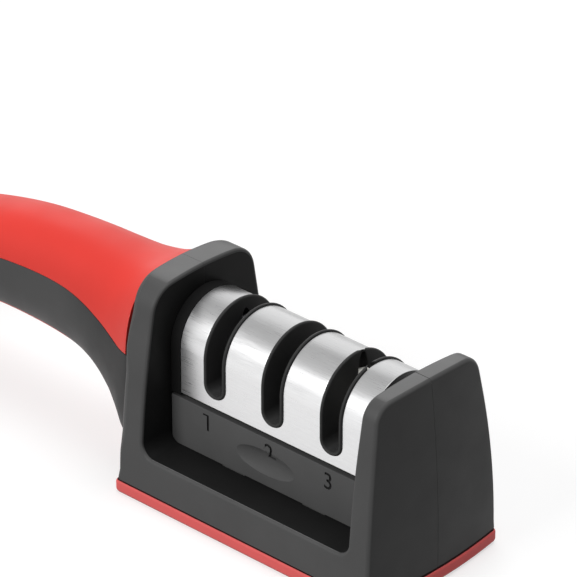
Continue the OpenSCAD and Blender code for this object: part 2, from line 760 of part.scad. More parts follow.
// Clamp hole of a plate, on the slot's centre line through its middle
module at_clamp(side) {
    rotate([0, 0, side == front ? 0 : 180]) translate([clamp_x, 0, clamp_z]) rotate([90, 0, 0]) children();
}

module carbide_plate(side) {
    difference() {
        at_plate(side) translate([0, -plate_t, -plate_l / 2]) cube([plate_w, plate_t, plate_l]);
        at_clamp(side) cylinder(r = pass_r, h = housing_w);
    }
}

module front_carbide_plate() { color("#5f6266") carbide_plate(front); }
module back_carbide_plate() { color("#5f6266") carbide_plate(back); }

module carbide_stage_block() {
    color("#1c1c1c")
    difference() {
        stage_block(0);
        for (side = [front, back]) {
            at_plate(side) translate([-seat_gap, -plate_t - seat_gap, -plate_l / 2 - seat_gap])
                cube([plate_w + 2 * seat_gap, plate_t + 2 * seat_gap, plate_l + housing_w]);
            at_clamp(side) translate([0, 0, clamp_seat_y - clamp_screw_l - seat_gap])
                cylinder(r = pilot_r, h = clamp_screw_l);
            at_clamp(side) translate([0, 0, plate_t]) cylinder(r = pass_r, h = housing_w);
            at_clamp(side) translate([0, 0, clamp_seat_y]) cylinder(r = sink_r, h = housing_w);
        }
    }
}

module carbide_clamp_screws() {
    color("silver") for (side = [front, back]) at_clamp(side) {
        translate([0, 0, clamp_seat_y - clamp_screw_l]) cylinder(r = screw_d / 2, h = clamp_screw_l);
        translate([0, 0, clamp_seat_y]) pan_head();
    }
}

// A panel's outline in X and Z with rounded lower corners
module panel_outline() {
    h = panel_top_z - panel_low_z;
    translate([-module_half_l, panel_corner_r]) square([2 * module_half_l, h - panel_corner_r]);
    translate([-module_half_l + panel_corner_r, 0]) square([2 * (module_half_l - panel_corner_r), h]);
    for (x = [-1, 1]) translate([x * (module_half_l - panel_corner_r), panel_corner_r])
        circle(r = panel_corner_r);
}

// A ring whose outer surface dips into the panel and leaves an oval dimple
module thumb_dimple() {
    ring_r = (pow(dimple_l / 2, 2) + pow(dimple_depth, 2)) / (2 * dimple_depth);
    tube_r = (pow(dimple_h / 2, 2) + pow(dimple_depth, 2)) / (2 * dimple_depth);
    translate([dimple_x, -cover_r + dimple_depth - ring_r, dimple_z])
        rotate_extrude($fn = 120) translate([ring_r - tube_r, 0]) circle(r = tube_r);
}

// The front release panel with its posts and legs
module release_panel() {
    difference() {
        translate([0, -panel_in_y, panel_low_z]) rotate([90, 0, 0]) linear_extrude(panel_t) panel_outline();
        thumb_dimple();
    }
    for (x = [-post_x, post_x]) translate([x, -panel_in_y - seat_gap, panel_mid_z]) rotate([-90, 0, 0])
        cylinder(r = post_r, h = post_l + seat_gap);
    for (x = [-leg_x, leg_x])
        translate([x - leg_w / 2, -panel_in_y - leg_t, panel_low_z - leg_l + seat_gap + carrier_wall])
            cube([leg_w, leg_t, leg_l]);
}

module front_release_panel() { color("#505050") release_panel(); }
module back_release_panel() { color("#505050") rotate([0, 0, 180]) release_panel(); }

// A bowed strip between the carrier's wall and the front panel
module leaf_spring() {
    room = panel_in_y - carrier_y;
    rise = room - leaf_t - seat_gap / 4;
    r = (pow(leaf_l / 2, 2) + pow(rise, 2)) / (2 * rise);
    translate([0, -carrier_y - r, panel_mid_z - leaf_h / 2]) intersection() {
        difference() {
            cylinder(r = r, h = leaf_h, $fn = 180);
            translate([0, 0, -overrun]) cylinder(r = r - leaf_t, h = leaf_h + 2 * overrun, $fn = 180);
        }
        translate([-leaf_l / 2, 0, 0]) cube([leaf_l, 2 * r, leaf_h]);
    }
}

module front_leaf_spring() { color("#b9bcc0") leaf_spring(); }
module back_leaf_spring() { color("#b9bcc0") mirror([0, 1, 0]) leaf_spring(); }

front_housing_shell();
back_housing_shell();
handle_top_grip();
handle_underside_strip();
base_plate();
nonslip_sole();
base_screws();
housing_screws();
module_carrier();
steel_cover();
front_release_panel();
back_release_panel();
front_leaf_spring();
back_leaf_spring();
diamond_stage_block();
carbide_stage_block();
ceramic_stage_block();
stage_block_screws();
front_diamond_rod();
back_diamond_rod();
front_carbide_plate();
back_carbide_plate();
carbide_clamp_screws();
front_ceramic_rod();
back_ceramic_rod();
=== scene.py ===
import json
from math import acos, cos, copysign, hypot, pi, radians, sin, sqrt, tan

import bmesh
import bpy
from bpy.props import FloatProperty, FloatVectorProperty, IntProperty, PointerProperty
from bpy.types import NodeSocket, Operator, Panel, PropertyGroup
from mathutils import Matrix, Vector


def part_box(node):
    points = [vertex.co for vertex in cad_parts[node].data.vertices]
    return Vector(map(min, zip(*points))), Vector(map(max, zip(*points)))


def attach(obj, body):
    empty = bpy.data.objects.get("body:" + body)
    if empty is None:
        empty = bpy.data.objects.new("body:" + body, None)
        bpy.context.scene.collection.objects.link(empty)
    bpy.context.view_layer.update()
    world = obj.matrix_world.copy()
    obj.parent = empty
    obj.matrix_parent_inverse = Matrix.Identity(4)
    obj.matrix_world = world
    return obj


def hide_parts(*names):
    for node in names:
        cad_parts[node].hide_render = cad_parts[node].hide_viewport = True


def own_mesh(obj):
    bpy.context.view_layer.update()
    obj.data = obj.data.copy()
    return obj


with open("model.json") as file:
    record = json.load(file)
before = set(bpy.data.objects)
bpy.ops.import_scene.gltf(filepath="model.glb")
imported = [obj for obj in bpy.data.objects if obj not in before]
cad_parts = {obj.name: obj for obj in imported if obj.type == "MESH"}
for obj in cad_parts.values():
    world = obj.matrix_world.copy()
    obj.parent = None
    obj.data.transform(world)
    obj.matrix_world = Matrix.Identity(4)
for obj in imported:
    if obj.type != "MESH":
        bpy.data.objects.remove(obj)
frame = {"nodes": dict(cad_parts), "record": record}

bl_info = {
    "name": "Knife sharpener",
    "version": (1, 0, 0),
    "blender": (4, 5, 0),
    "location": "3D View > Sidebar > Sharpener",
    "description": "Dresses a pull-through knife sharpener around its packed frame",
    "category": "Add Mesh",
}

MM = 0.001
FRONT, BACK = -1, 1
REAR, NOSE = -1, 1
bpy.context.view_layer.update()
SOLE_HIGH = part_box("nonslip_sole")[1]
COVER_LOW, COVER_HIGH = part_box("steel_cover")
PANEL_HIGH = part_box("front_release_panel")[1]
WHITE = (1, 1, 1, 1)
LAMP_AIM = (-0.02, 0, 0.04)
# Points that lie closer to each other than this are one point
MERGE = 2e-7
# Steps round a window's lower corner, and round a slot's end in the inserts' lips
CORNER_STEPS = 5
ROUND_STEPS = 12
# Holes of the deck, and the housing's screws with their bosses, which SCREW_STATIONS places in the handle
PEG_HOLE = 3.15 * MM
LEG_HOLE_INNER = 9.5 * MM
SCREW_STATIONS = (6.4, 11)
SCREW_X = 22.6 * MM
SCREW_Z = 8 * MM
SCREW_SEAT = 5 * MM
BOSS_RADIUS = 3.15 * MM
BOSS_LENGTH = 22.5 * MM
HEAD_HOLE = 2.25 * MM
SHANK_HOLE = 1.15 * MM
# Stage blocks: half length, heights of foot and shoulder, slot, pilot hole and where the abrasives cross
BLOCK_HALF = 8.55 * MM
BLOCK_FOOT = 16.1 * MM
BLOCK_SHOULDER = 32 * MM
BLOCK_SLOT = 6.4 * MM
PILOT_TOP = 25 * MM
PILOT_RADIUS = 1.05 * MM
CONTACT_HEIGHT = 40.5 * MM
PLATE_LEAN = radians(22)
# The panels' lower edge, and the places of their posts and dimples
PANEL_FOOT = 14.3 * MM
POST_X = 32.475 * MM
POST_Z = 21.725 * MM
DIMPLE_HEIGHT = 21.175 * MM
# Diameter and lean of the rods, by their stage's place from the module's middle
RODS = {-1: (3.2 * MM, radians(20)), 1: (3.6 * MM, radians(17))}
# Height of the font's digits over its size
DIGIT_SHARE = 0.73
# Text of each digit, and X and Z of its middle in millimetres
DIGITS = (("1", -22.9, 24.75), ("2", -1.3, 24.75), ("3", 19.3, 24.75))


def length(default, name, description):
    """A length that a user can change, given in millimetres."""
    return FloatProperty(name=name, description=description, default=default * MM, unit="LENGTH", precision=5)


def number(default, name, description, subtype="NONE"):
    return FloatProperty(name=name, description=description, default=default, subtype=subtype)


def share(default, name, description):
    return number(default, name, description, "FACTOR")


def degrees(default, name, description):
    return number(radians(default), name, description, "ANGLE")


def colour(default, name, description):
    """A colour in linear light, as the shaders take it."""
    return FloatVectorProperty(name=name, description=description, default=default, size=3, subtype="COLOR",
                               min=0, max=1)


class HousingSizes(PropertyGroup):
    """Sizes of the two shells of the housing"""
    length: length(90.8, "Length", "Length at the bottom rim")
    width: length(49.2, "Width", "Width at the bottom rim")
    shoulder_width: length(40, "Shoulder width", "Width at the arches' shoulders")
    shoulder_height: length(50, "Shoulder height", "Height of that width")
    bow: length(1.0, "Bow", "Outward bow of the flanks")
    rear_top: length(61.8, "Rear arch", "Height of the arch at the handle")
    nose_top: length(58.2, "Nose", "Height of the nose")
    rear_corner: length(8.5, "Rear corner", "Corner radius of the rear arch")
    nose_corner: length(6, "Nose corner", "Corner radius of the nose")
    crown_rise: length(0.6, "Crown rise", "Rise of an arch's top to its middle")
    nose_lean: degrees(3.4, "Nose lean", "Backward lean of the nose face")
    nose_bulge: length(2, "Nose bulge", "Bulge of the nose face in plan")
    nose_bow: length(0.9, "Nose bow", "Forward bow of the nose face over its height")
    rear_lean: degrees(0.3, "Rear lean", "Forward lean of the rear face")
    opening: length(72.6, "Opening", "Length of the saddle between the arches")
    deck: length(14.2, "Deck", "Height of the deck under the module")
    deck_thickness: length(2.2, "Deck thickness", "Thickness of the deck")
    sill_corner: length(4, "Sill corner", "Corner radius of the windows")
    rim_edge: length(0.9, "Rim edge", "Rounding of the windows' rims")
    nose_edge: length(1.1, "Nose edge", "Rounding round the nose face")
    flare: length(0.4, "Flare", "How far the foot of the shells stands out over the sole")
    flare_height: length(3, "Flare height", "Height of that flare")
    rear_bow: length(1.5, "Rear bow", "How far the rear face's sides stand forward of its middle")
    rear_edge: length(1.0, "Rear edge", "Rounding of the rear arch's back beside the grip")
    root_edge: length(2.6, "Root edge", "The same below the grip")
    band_step: length(0.3, "Band step", "Step from the rear arch's band to its back")
    foot_groove: length(0.4, "Foot groove", "Shadow groove between the shells and the sole")
    seam: length(0.14, "Seam", "Chamfer along the seam of the halves")


class HandleSizes(PropertyGroup):
    """Sizes of the handle's core, grip and strip"""
    reach: length(118, "Reach", "Reach behind the housing")
    width: length(27, "Width", "Width where the hand holds it")
    top: length(58.4, "Top", "Height of the top where the hand holds it")
    arch_step: length(0.5, "Arch step", "Step from the rear arch's flanks in to the handle")
    root_gap: length(0.15, "Root gap", "Gap between the grip and the housing's rear face")
    crown_step: length(1.8, "Crown step", "Step from the rear arch's top down to the handle")
    grip: length(1.6, "Grip", "Thickness of the soft grip")
    strip: length(1.2, "Strip", "Thickness of the soft strip")
    wall: length(1.9, "Core wall", "Wall of the core under the grip")
    bond: length(0.02, "Bond gap", "Gap between soft parts and core")
    lip: length(0.28, "Lip", "Rounding where two colours meet")
    root_line: share(0.24, "Root line", "Colour line at the root, over the section's middle")
    grip_line: share(0.31, "Grip line", "Colour line along the handle")
    strip_line: share(-0.74, "Strip line", "Upper edge of the underside strip")
    strip_tip: share(-0.93, "Strip tip", "The same at the strip's front end")


class SoleSizes(PropertyGroup):
    """Sizes of the sole"""
    height: length(SOLE_HIGH.z / MM, "Height", "Height of the red band")
    floor: length(1.8, "Floor", "Thickness under the base plate")
    proud: length(0.5, "Proud", "How far the band stands out from the shells")
    corner: length(1.8, "Corner", "Corner radius in plan")
    wall: length(2.4, "Wall", "Wall of the shells above it")
    edge: length(1.5, "Edge", "Rounding of the band's lower edge")
    treads: IntProperty(name="Treads", description="Grooves under the sole", default=8)
    tread_width: length(1.6, "Tread width", "Width of a groove")
    ledge_shade: length(0.12, "Ledge shade", "Depth of the dark line along the sole's upper edge")
    shade_height: length(0.75, "Shade", "Height of the dark line along the sole's lower edge")
    tread_depth: length(0.5, "Tread depth", "Depth of a groove")
    tread_share: share(0.8, "Tread share", "Share of the length that the grooves take")


class ModuleSizes(PropertyGroup):
    """Sizes of the lift-out module"""
    radius: length(COVER_HIGH.y / MM, "Radius", "Radius of the steel cover's round top")
    axis: length(43, "Axis", "Height of that round top's axis")
    low: length(COVER_LOW.z / MM, "Low edge", "Height of the cover's lower edge")
    cover_length: length((COVER_HIGH.x - COVER_LOW.x) / MM, "Cover length", "Length of the steel cover")
    sheet: length(0.8, "Sheet", "Sheet thickness")
    pitch: length(20.3, "Pitch", "Distance between neighbouring slots")
    slot: length(7.6, "Slot", "Width of a slot in the cover")
    slot_low: length(32.9, "Slot bottom", "Lowest point of a slot")
    tab: length(5, "Tab", "Width of a bent tab")
    panel_thickness: length(2, "Panel", "Thickness of a release panel")
    panel_drop: length(0.6, "Panel drop", "Wider shadow line over the panel")
    panel_edge: length(0.3, "Panel edge", "Rounding of a panel's edges")
    dimple_length: length(20.8, "Dimple length", "Length of a thumb dimple")
    dimple_height: length(7.2, "Dimple height", "Height of a thumb dimple")
    dimple_depth: length(1.5, "Dimple depth", "Depth of a thumb dimple")
    press: length(1.2, "Press", "Travel of a release panel")
    digit: length(5.0, "Digit", "Height of an engraved digit")
    digit_depth: length(0.35, "Digit depth", "Depth of an engraved digit")
    digit_weight: length(0.03, "Digit weight", "How much an engraved digit's strokes are widened")


class Finishes(PropertyGroup):
    """Colours of the sharpener's materials, and how strong the painted light and shade on some of them is"""
    housing: colour((0.070, 0.070, 0.070), "Housing", "Moulded plastic of the housing and panels")
    # Painted shade: this much darker colour stands for the shade in the saddle and in the groove over the
    # sole
    recess: colour((0.011, 0.011, 0.011), "Recess", "Inner faces of the housing's saddle")
    carrier: colour((0.009, 0.009, 0.009), "Carrier", "Darker plastic of the module's carrier")
    insert: colour((0.034, 0.034, 0.034), "Insert", "Plastic of the slots' inserts")
    grip: colour((0.69, 0.047, 0.036), "Grip", "Soft rubber of the handle")
    sole: colour((0.78, 0.128, 0.124), "Sole", "Soft rubber of the sole")
    steel: colour((0.74, 0.74, 0.745), "Steel", "Brushed sheet of the cover")
    # Painted highlight: how much brighter the housing's faces that look up are made
    highlighted: number(1.85, "Handled", "Brightness of the housing's handled tops")
    core_tone: share(0.87, "Core tone", "Brightness of the handle's core against the housing")
    # Painted shade: the core darkens to this towards its root behind the rear arch
    root_shade: share(0.38, "Root tone", "The same at the core's root, behind the rear arch")
    # Painted shade: how much darker the nose face is made than the flanks
    nose_shade: share(0.56, "Nose tone", "Brightness of the nose face against the flanks")
    # Painted shade: the cover's crown is made darker, standing for a darker reflection there
    crown_shade: share(0.42, "Crown wear", "Brightness of the cover's crown, where blades rub it")
    screw: colour((0.55, 0.55, 0.56), "Screw", "Plated screws")
    spring: colour((0.60, 0.61, 0.63), "Spring", "Spring strip")
    diamond: colour((0.28, 0.28, 0.30), "Diamond", "Grit of the coarse rods")
    carbide: colour((0.16, 0.17, 0.18), "Carbide", "Ground carbide plates")
    ceramic: colour((0.84, 0.83, 0.78), "Ceramic", "Fine white rods")


class Studio(PropertyGroup):
    """The camera and the lamps"""
    azimuth: degrees(43.057, "Azimuth", "Camera's turn from the front side")
    elevation: degrees(29.0, "Elevation", "Camera's height above the horizon")
    distance: length(1196.43, "Distance", "Camera's distance from its aim")
    aim: FloatVectorProperty(name="Aim", description="Point in the middle of the picture", size=3,
                             default=(-0.02313, 0.01787, 0.05205), subtype="TRANSLATION", precision=5)
    focal_pixels: number(4600, "Focal length", "In pixels of the picture")
    ambient: number(0.21, "Ambient", "Strength of the light from all round")
    floor_glow: number(0.62, "Floor glow", "White added to the floor for the camera")
    picture: IntProperty(name="Picture", description="Width of the picture in pixels", default=577)


def sizes(group):
    return getattr(bpy.context.scene, "sharpener_" + group)


def spaced(start, end, steps):
    return [start + (end - start) * i / steps for i in range(steps + 1)]


def rounding(steps):
    """Angles of a quarter round."""
    return spaced(0, pi / 2, steps)


def clamped(t):
    return max(0, min(1, t))


def rounded(bm, edges, offset):
    bmesh.ops.bevel(bm, geom=edges, offset=offset, segments=2, profile=0.5, affect="EDGES")


# Mesh building


def quads_between(bm, ribs):
    """Joins neighbouring ribs of vertices as far as both reach."""
    for one, two in zip(ribs, ribs[1:]):
        for j in range(min(len(one), len(two)) - 1):
            corners = list(dict.fromkeys((one[j], one[j + 1], two[j + 1], two[j])))
            if len(corners) > 2:
                bm.faces.new(corners)


def vertices(bm, points):
    return [bm.verts.new(p) for p in points]


def cap(bm, loop):
    """One face on a run of vertices, without those that lie on each other."""
    kept = []
    for v in loop:
        if not kept or (v.co - kept[-1].co).length > 1e-7:
            kept.append(v)
    if (kept[0].co - kept[-1].co).length <= 1e-7:
        kept.pop()
    return bm.faces.new(kept)


def tidy(bm):
    bmesh.ops.remove_doubles(bm, verts=bm.verts, dist=MERGE)
    bmesh.ops.recalc_face_normals(bm, faces=bm.faces)


def sweep(loops, capped=True):
    """A closed solid from loops of points, one after another."""
    bm = bmesh.new()
    rings = [vertices(bm, loop) for loop in loops]
    quads_between(bm, [ring + ring[:1] for ring in rings])
    if capped:
        cap(bm, rings[0])
        cap(bm, rings[-1])
    tidy(bm)
    return bm


def solid_box(low, high, edge=0.0):
    bm = bmesh.new()
    bmesh.ops.create_cube(bm, size=1)
    size = Vector(high) - Vector(low)
    middle = (Vector(high) + Vector(low)) / 2
    bmesh.ops.transform(bm, matrix=Matrix.Translation(middle) @ Matrix.Diagonal((*size, 1)), verts=bm.verts)
    if edge:
        rounded(bm, bm.edges, edge)
    return bm


def solid_bar(start, end, radius, sides=32, edge=0.0):
    """A round bar from start to end."""
    bm = bmesh.new()
    axis = Vector(end) - Vector(start)
    bmesh.ops.create_cone(bm, cap_ends=True, segments=sides, radius1=radius, radius2=radius,
                          depth=axis.length)
    if edge:
        rounded(bm, [e for e in bm.edges if any(len(f.verts) == sides for f in e.link_faces)], edge)
    turn = Vector((0, 0, 1)).rotation_difference(axis).to_matrix().to_4x4()
    middle = Matrix.Translation((Vector(start) + Vector(end)) / 2)
    bmesh.ops.transform(bm, matrix=middle @ turn, verts=bm.verts)
    return bm


def mirrored(bm):
    """The same solid on the other side of the middle plane."""
    other = bm.copy()
    bmesh.ops.scale(other, vec=(1, -1, 1), verts=other.verts)
    bmesh.ops.reverse_faces(other, faces=other.faces)
    return other


def loose_object(name, bm):
    mesh = bpy.data.meshes.new(name)
    bm.to_mesh(mesh)
    bm.free()
    made = bpy.data.objects.new(name, mesh)
    bpy.context.scene.collection.objects.link(made)
    return made


def add(solid):
    return "UNION", solid


def cut(solid):
    return "DIFFERENCE", solid


def combine(name, base, steps=()):
    """A mesh object from a solid and the solids that are added to it or cut from it, one after another."""
    made = loose_object(name, base)
    for operation, solid in steps:
        change = made.modifiers.new("Step", "BOOLEAN")
        change.operation = operation
        change.solver = "EXACT"
        change.object = loose_object(name + "_tool", solid)
    if steps:
        tools = [change.object for change in made.modifiers]
        bpy.context.view_layer.update()
        evaluated = made.evaluated_get(bpy.context.evaluated_depsgraph_get())
        mesh = bpy.data.meshes.new_from_object(evaluated)
        made.modifiers.clear()
        made.data = mesh
        for tool in tools:
            bpy.data.objects.remove(tool)
    return made


def shade(made, limit=35):
    """Smooth faces with sharp creases above an angle, and normals that follow the larger faces."""
    bm = bmesh.new()
    bm.from_mesh(made.data)
    for face in bm.faces:
        face.smooth = True
    for edge in bm.edges:
        edge.smooth = not edge.is_manifold or edge.calc_face_angle(0) < radians(limit)
    bm.to_mesh(made.data)
    bm.free()
    made.modifiers.new("Even shading", "WEIGHTED_NORMAL").keep_sharp = True


def make(node, body, slot, base, steps=(), finish=None, limit=35, suffix="_skin"):
    """Builds the piece that stands for one of the frame's nodes, with its finish and its body."""
    made = combine(node + suffix, base, steps)
    shade(made, limit)
    made.data.materials.clear()
    made.data.materials.append(material(finish or slot + "_finish"))
    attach(made, body)
    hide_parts(node)
    return made


def recolour(made, finish, chosen):
    """The chosen faces take a second finish."""
    made.data.materials.append(material(finish))
    for face in made.data.polygons:
        if chosen(face):
            face.material_index = 1


# Finishes


def wire(tree, node, inputs):
    """Sets a node's inputs: each is a value or another node's output."""
    for socket, value in inputs.items():
        if isinstance(value, NodeSocket):
            tree.links.new(value, node.inputs[socket])
        else:
            node.inputs[socket].default_value = value
    return node.outputs


def add_node(tree, kind, inputs=None, **settings):
    node = tree.nodes.new("ShaderNode" + kind)
    for name, value in settings.items():
        setattr(node, name, value)
    return wire(tree, node, inputs or {})


class Finish:
    """A material's node tree with a few shorthand calls."""

    def __init__(self, name, base, roughness, metallic=0.0, specular=0.5):
        made = bpy.data.materials.new(name)
        made.use_nodes = True
        self.tree = made.node_tree
        self.shader = self.tree.nodes["Principled BSDF"]
        self.base = base
        self.roughness = roughness
        self.set({"Base Color": (*base, 1), "Roughness": roughness, "Metallic": metallic,
                  "Specular IOR Level": specular})
        where = self.node("TexCoord")
        self.place = where["Object"]
        self.normal = where["Normal"]
        self.bump = None

    def node(self, kind, inputs=None, **settings):
        return add_node(self.tree, kind, inputs, **settings)

    def set(self, inputs):
        wire(self.tree, self.shader, inputs)

    def noise(self, scale, detail=2.0, rough=0.5, where=None):
        return self.node("TexNoise", {"Scale": scale, "Detail": detail, "Roughness": rough,
                                      "Vector": where or self.place})["Fac"]

    def lines(self, scale, detail):
        """Noise that is stretched into lines: scale is its fineness along each axis."""
        where = self.node("Mapping", {"Scale": scale, "Vector": self.place})["Vector"]
        return self.noise(1.0, detail, 0.6, where)

    def spread(self, source, low, high, start=0.3, end=0.7):
        """Maps a pattern's usual range onto low to high."""
        return self.node("MapRange", {"From Min": start, "From Max": end, "To Min": low, "To Max": high,
                                      "Value": source})["Result"]

    def tones(self, pattern, dark, light):
        """Varies the base colour between two tones by a pattern."""
        inputs = {"A": (*toned(self.base, dark), 1), "B": (*toned(self.base, light), 1),
                  "Factor": self.spread(pattern, 0, 1)}
        self.set({"Base Color": self.node("Mix", inputs, data_type="RGBA")["Result"]})

    def gloss(self, pattern, low, high):
        """Varies the roughness by a pattern."""
        self.set({"Roughness": self.spread(pattern, self.roughness + low, self.roughness + high)})

    def fade(self, source, axis, values, reach):
        """Multiplies the colour by values that run along a part of the place or of the normal."""
        part = self.node("SeparateXYZ", {"Vector": source})[axis]
        factors = {0: self.shader.inputs["Base Color"].links[0].from_socket,
                   1: self.spread(part, *values, *reach)}
        self.set({"Base Color": self.node("VectorMath", factors, operation="MULTIPLY")["Vector"]})

    def relief(self, pattern, depth):
        """Adds a pattern to the surface's fine relief."""
        inputs = {"Distance": depth, "Height": pattern}
        if self.bump:
            inputs["Normal"] = self.bump
        self.bump = self.node("Bump", inputs)["Normal"]
        self.set({"Normal": self.bump})


def toned(base, factor):
    return tuple(min(1.0, c * factor) for c in base)


def moulded_plastic(name, base, roughness=0.46, grain=1.0, gloss=0.1):
    """Spark-eroded moulded plastic: fine grain, faint flow marks and slightly uneven gloss."""
    finish = Finish(name, base, roughness, specular=gloss)
    finish.tones(finish.noise(55, 3), 0.93, 1.07)
    finish.gloss(finish.noise(130, 2), -0.04, 0.05)
    finish.relief(finish.noise(5200, 2, 0.6), 0.012 * MM * grain)
    finish.relief(finish.noise(900, 1), 0.006 * MM * grain)
    return finish


def shell_plastic(name, base):
    """The housing's plastic, with a painted highlight on the faces that look up, painted shade on the nose
    face, and painted shade on the handle's core towards its root."""
    f = sizes("finishes")
    rear = -sizes("housing").length / 2
    finish = moulded_plastic(name, base, gloss=0.14)
    # Painted highlight: faces that look up are made brighter
    finish.fade(finish.normal, "Z", (1, f.highlighted), (0.965, 0.997))
    # Painted shade: faces that look towards the nose are made darker
    finish.fade(finish.normal, "X", (1, f.nose_shade), (0.75, 0.95))
    # Painted shade: the handle's core darkens towards the housing's rear face; the next line brings the
    # housing ahead of that face back to full
    finish.fade(finish.place, "X", (f.core_tone, f.root_shade), (rear - 32 * MM, rear - 12 * MM))
    finish.fade(finish.place, "X", (1, 1 / f.root_shade), (rear + 0.3 * MM, rear + 1.3 * MM))


def soft_rubber(name, base, roughness=0.46):
    """Soft-touch rubber: satin, with a fine skin texture and handling shine."""
    finish = Finish(name, base, roughness, specular=0.16)
    finish.tones(finish.noise(38, 3), 0.96, 1.05)
    finish.gloss(finish.noise(70, 2), -0.04, 0.06)
    finish.relief(finish.noise(3600, 2, 0.6), 0.01 * MM)


def brushed_sheet(name, base):
    """Rolled stainless sheet with fine brush lines along the module."""
    finish = Finish(name, base, 0.3, metallic=1.0)
    lines = finish.lines((150, 7500, 7500), 3)
    finish.tones(lines, 0.93, 1.05)
    finish.gloss(lines, -0.04, 0.06)
    finish.relief(lines, 0.001 * MM)
    finish.set({"Anisotropic": 0.35})
    # Painted shade: the cover darkens towards its crown, standing for a darker reflection there
    finish.fade(finish.place, "Z", (1, sizes("finishes").crown_shade), (47 * MM, 55.5 * MM))


def plated_steel(name, base):
    """Plated or polished small steel parts with faint handling marks."""
    finish = Finish(name, base, 0.28, metallic=1.0)
    marks = finish.noise(700, 3)
    finish.gloss(marks, -0.06, 0.1)
    finish.relief(marks, 0.003 * MM)


def grit(name, base):
    """Diamond grit plated on a steel rod."""
    finish = Finish(name, base, 0.5, metallic=0.7)
    grains = finish.noise(9000, 2, 0.7)
    finish.tones(grains, 0.6, 1.5)
    finish.relief(grains, 0.05 * MM)


def ground_carbide(name, base):
    """Dark carbide with the lines of its grinding wheel."""
    finish = Finish(name, base, 0.3, metallic=0.9)
    lines = finish.lines((5000, 5000, 500), 2)
    finish.tones(lines, 0.75, 1.3)
    finish.relief(lines, 0.003 * MM)


def fine_ceramic(name, base):
    """Sintered white ceramic with a dry, even surface."""
    finish = Finish(name, base, 0.5)
    grains = finish.noise(4000, 2)
    finish.tones(grains, 0.95, 1.03)
    finish.relief(grains, 0.008 * MM)


# For each material: its maker, its colour, the tone of that colour and the maker's other values
MATERIALS = {
    "black_plastic_finish": (shell_plastic, "housing", 1),
    # Painted light: the housing's plastic made 1.3 times lighter for the panels, to make up for the shade of
    # the recess they sit in
    "lit_panel_plastic": (moulded_plastic, "housing", 1.3),
    # Painted shade: a much darker copy of the housing's plastic for the engraved digits
    "digit_shade_plastic": (moulded_plastic, "housing", 0.32, 0.46, 1.0, 0.04),
    # Painted shade in the saddle and in the groove over the sole
    "recess_shade_plastic": (moulded_plastic, "recess", 1, 0.4, 0.5, 0.06),
    "dark_plastic_finish": (moulded_plastic, "carrier", 1, 0.5, 0.5, 0.04),
    "insert_plastic_finish": (moulded_plastic, "insert", 1),
    "red_rubber_finish": (soft_rubber, "grip", 1),
    "sole_rubber_finish": (soft_rubber, "sole", 1),
    # Painted shade: a near-black copy of the sole's rubber for the dark lines along its lower edge and under
    # the shells
    "shade_rubber": (soft_rubber, "sole", 0.04, 0.6),
    "cover_steel_finish": (brushed_sheet, "steel", 1),
    "spring_steel_finish": (plated_steel, "spring", 1),
    "screw_steel_finish": (plated_steel, "screw", 1),
    "diamond_coating_finish": (grit, "diamond", 1),
    "carbide_finish": (ground_carbide, "carbide", 1),
    "fine_ceramic_finish": (fine_ceramic, "ceramic", 1),
}


def material(name):
    """A material of the table, made when it is first asked for."""
    if name not in bpy.data.materials:
        maker, group, tone, *values = MATERIALS[name]
        maker(name, toned(getattr(sizes("finishes"), group), tone), *values)
    return bpy.data.materials[name]


# Shapes of the housing


def foot_share(s, z):
    """1 at the shells' foot, fading to 0 at the top of the flare."""
    return min(1, max(0, 1 - (z - sizes("sole").height) / s.flare_height) ** 2)


def root_share(z):
    """1 beside the handle, fading to 0 below its root."""
    return clamped((z - 12 * MM) / (6 * MM))


def flank(s, z):
    """Half width of the housing at height z."""
    base = sizes("sole").height
    t = (z - base) / (s.shoulder_height - base)
    flare = 0.7 * s.flare * foot_share(s, z)
    return s.width / 2 - (s.width - s.shoulder_width) / 2 * t + 4 * s.bow * t * (1 - t) + flare


def arch_outline(s, top, corner, start):
    """Front half of an arch from height start up its flank to the middle of its crown: points in Y and Z,
    each with its inward normal."""
    steps = 14
    step = 0.05 * MM
    zc = top - s.crown_rise - corner
    yc = flank(s, zc) - corner
    points = [Vector((-flank(s, z), z)) for z in spaced(start, zc, steps)[:-1]]
    points += [Vector((-yc - corner * cos(a), zc + corner * sin(a))) for a in rounding(steps)]
    points += [Vector((-yc * t, top - s.crown_rise * t * t)) for t in spaced(1, 0, steps // 2)[1:]]
    for _ in range(3):
        inner = [(a + 2 * b + c) / 4 for a, b, c in zip(points, points[1:], points[2:])]
        points = points[:1] + inner + points[-1:]
    slope = (flank(s, start + step) - flank(s, start - step)) / (2 * step)
    normals = [Vector((1, -slope)).normalized()]
    for a, b in zip(points, points[2:]):
        along = (b - a).normalized()
        normals.append(Vector((along.y, -along.x)))
    return list(zip(points, normals + [Vector((0, -1))]))


def end_face(s, end, y, z):
    """X of the nose face or of the rear face at y and z."""
    rise = z - sizes("sole").height
    if end == REAR:
        high = clamped((z - 42 * MM) / (12 * MM))
        bow = s.rear_bow * (0.25 + 0.75 * high) * min(1, 2 * abs(y) / s.shoulder_width) ** 4
        return -s.length / 2 + rise * tan(s.rear_lean) + bow - s.flare * foot_share(s, z)
    t = rise / (s.nose_top - sizes("sole").height)
    plan = (s.width / 2) ** 2 / (2 * s.nose_bulge) + s.nose_bulge / 2
    radius = plan - rise * tan(s.nose_lean) + 4 * s.nose_bow * t * (1 - t)
    return s.length / 2 - plan + sqrt(radius * radius - y * y)


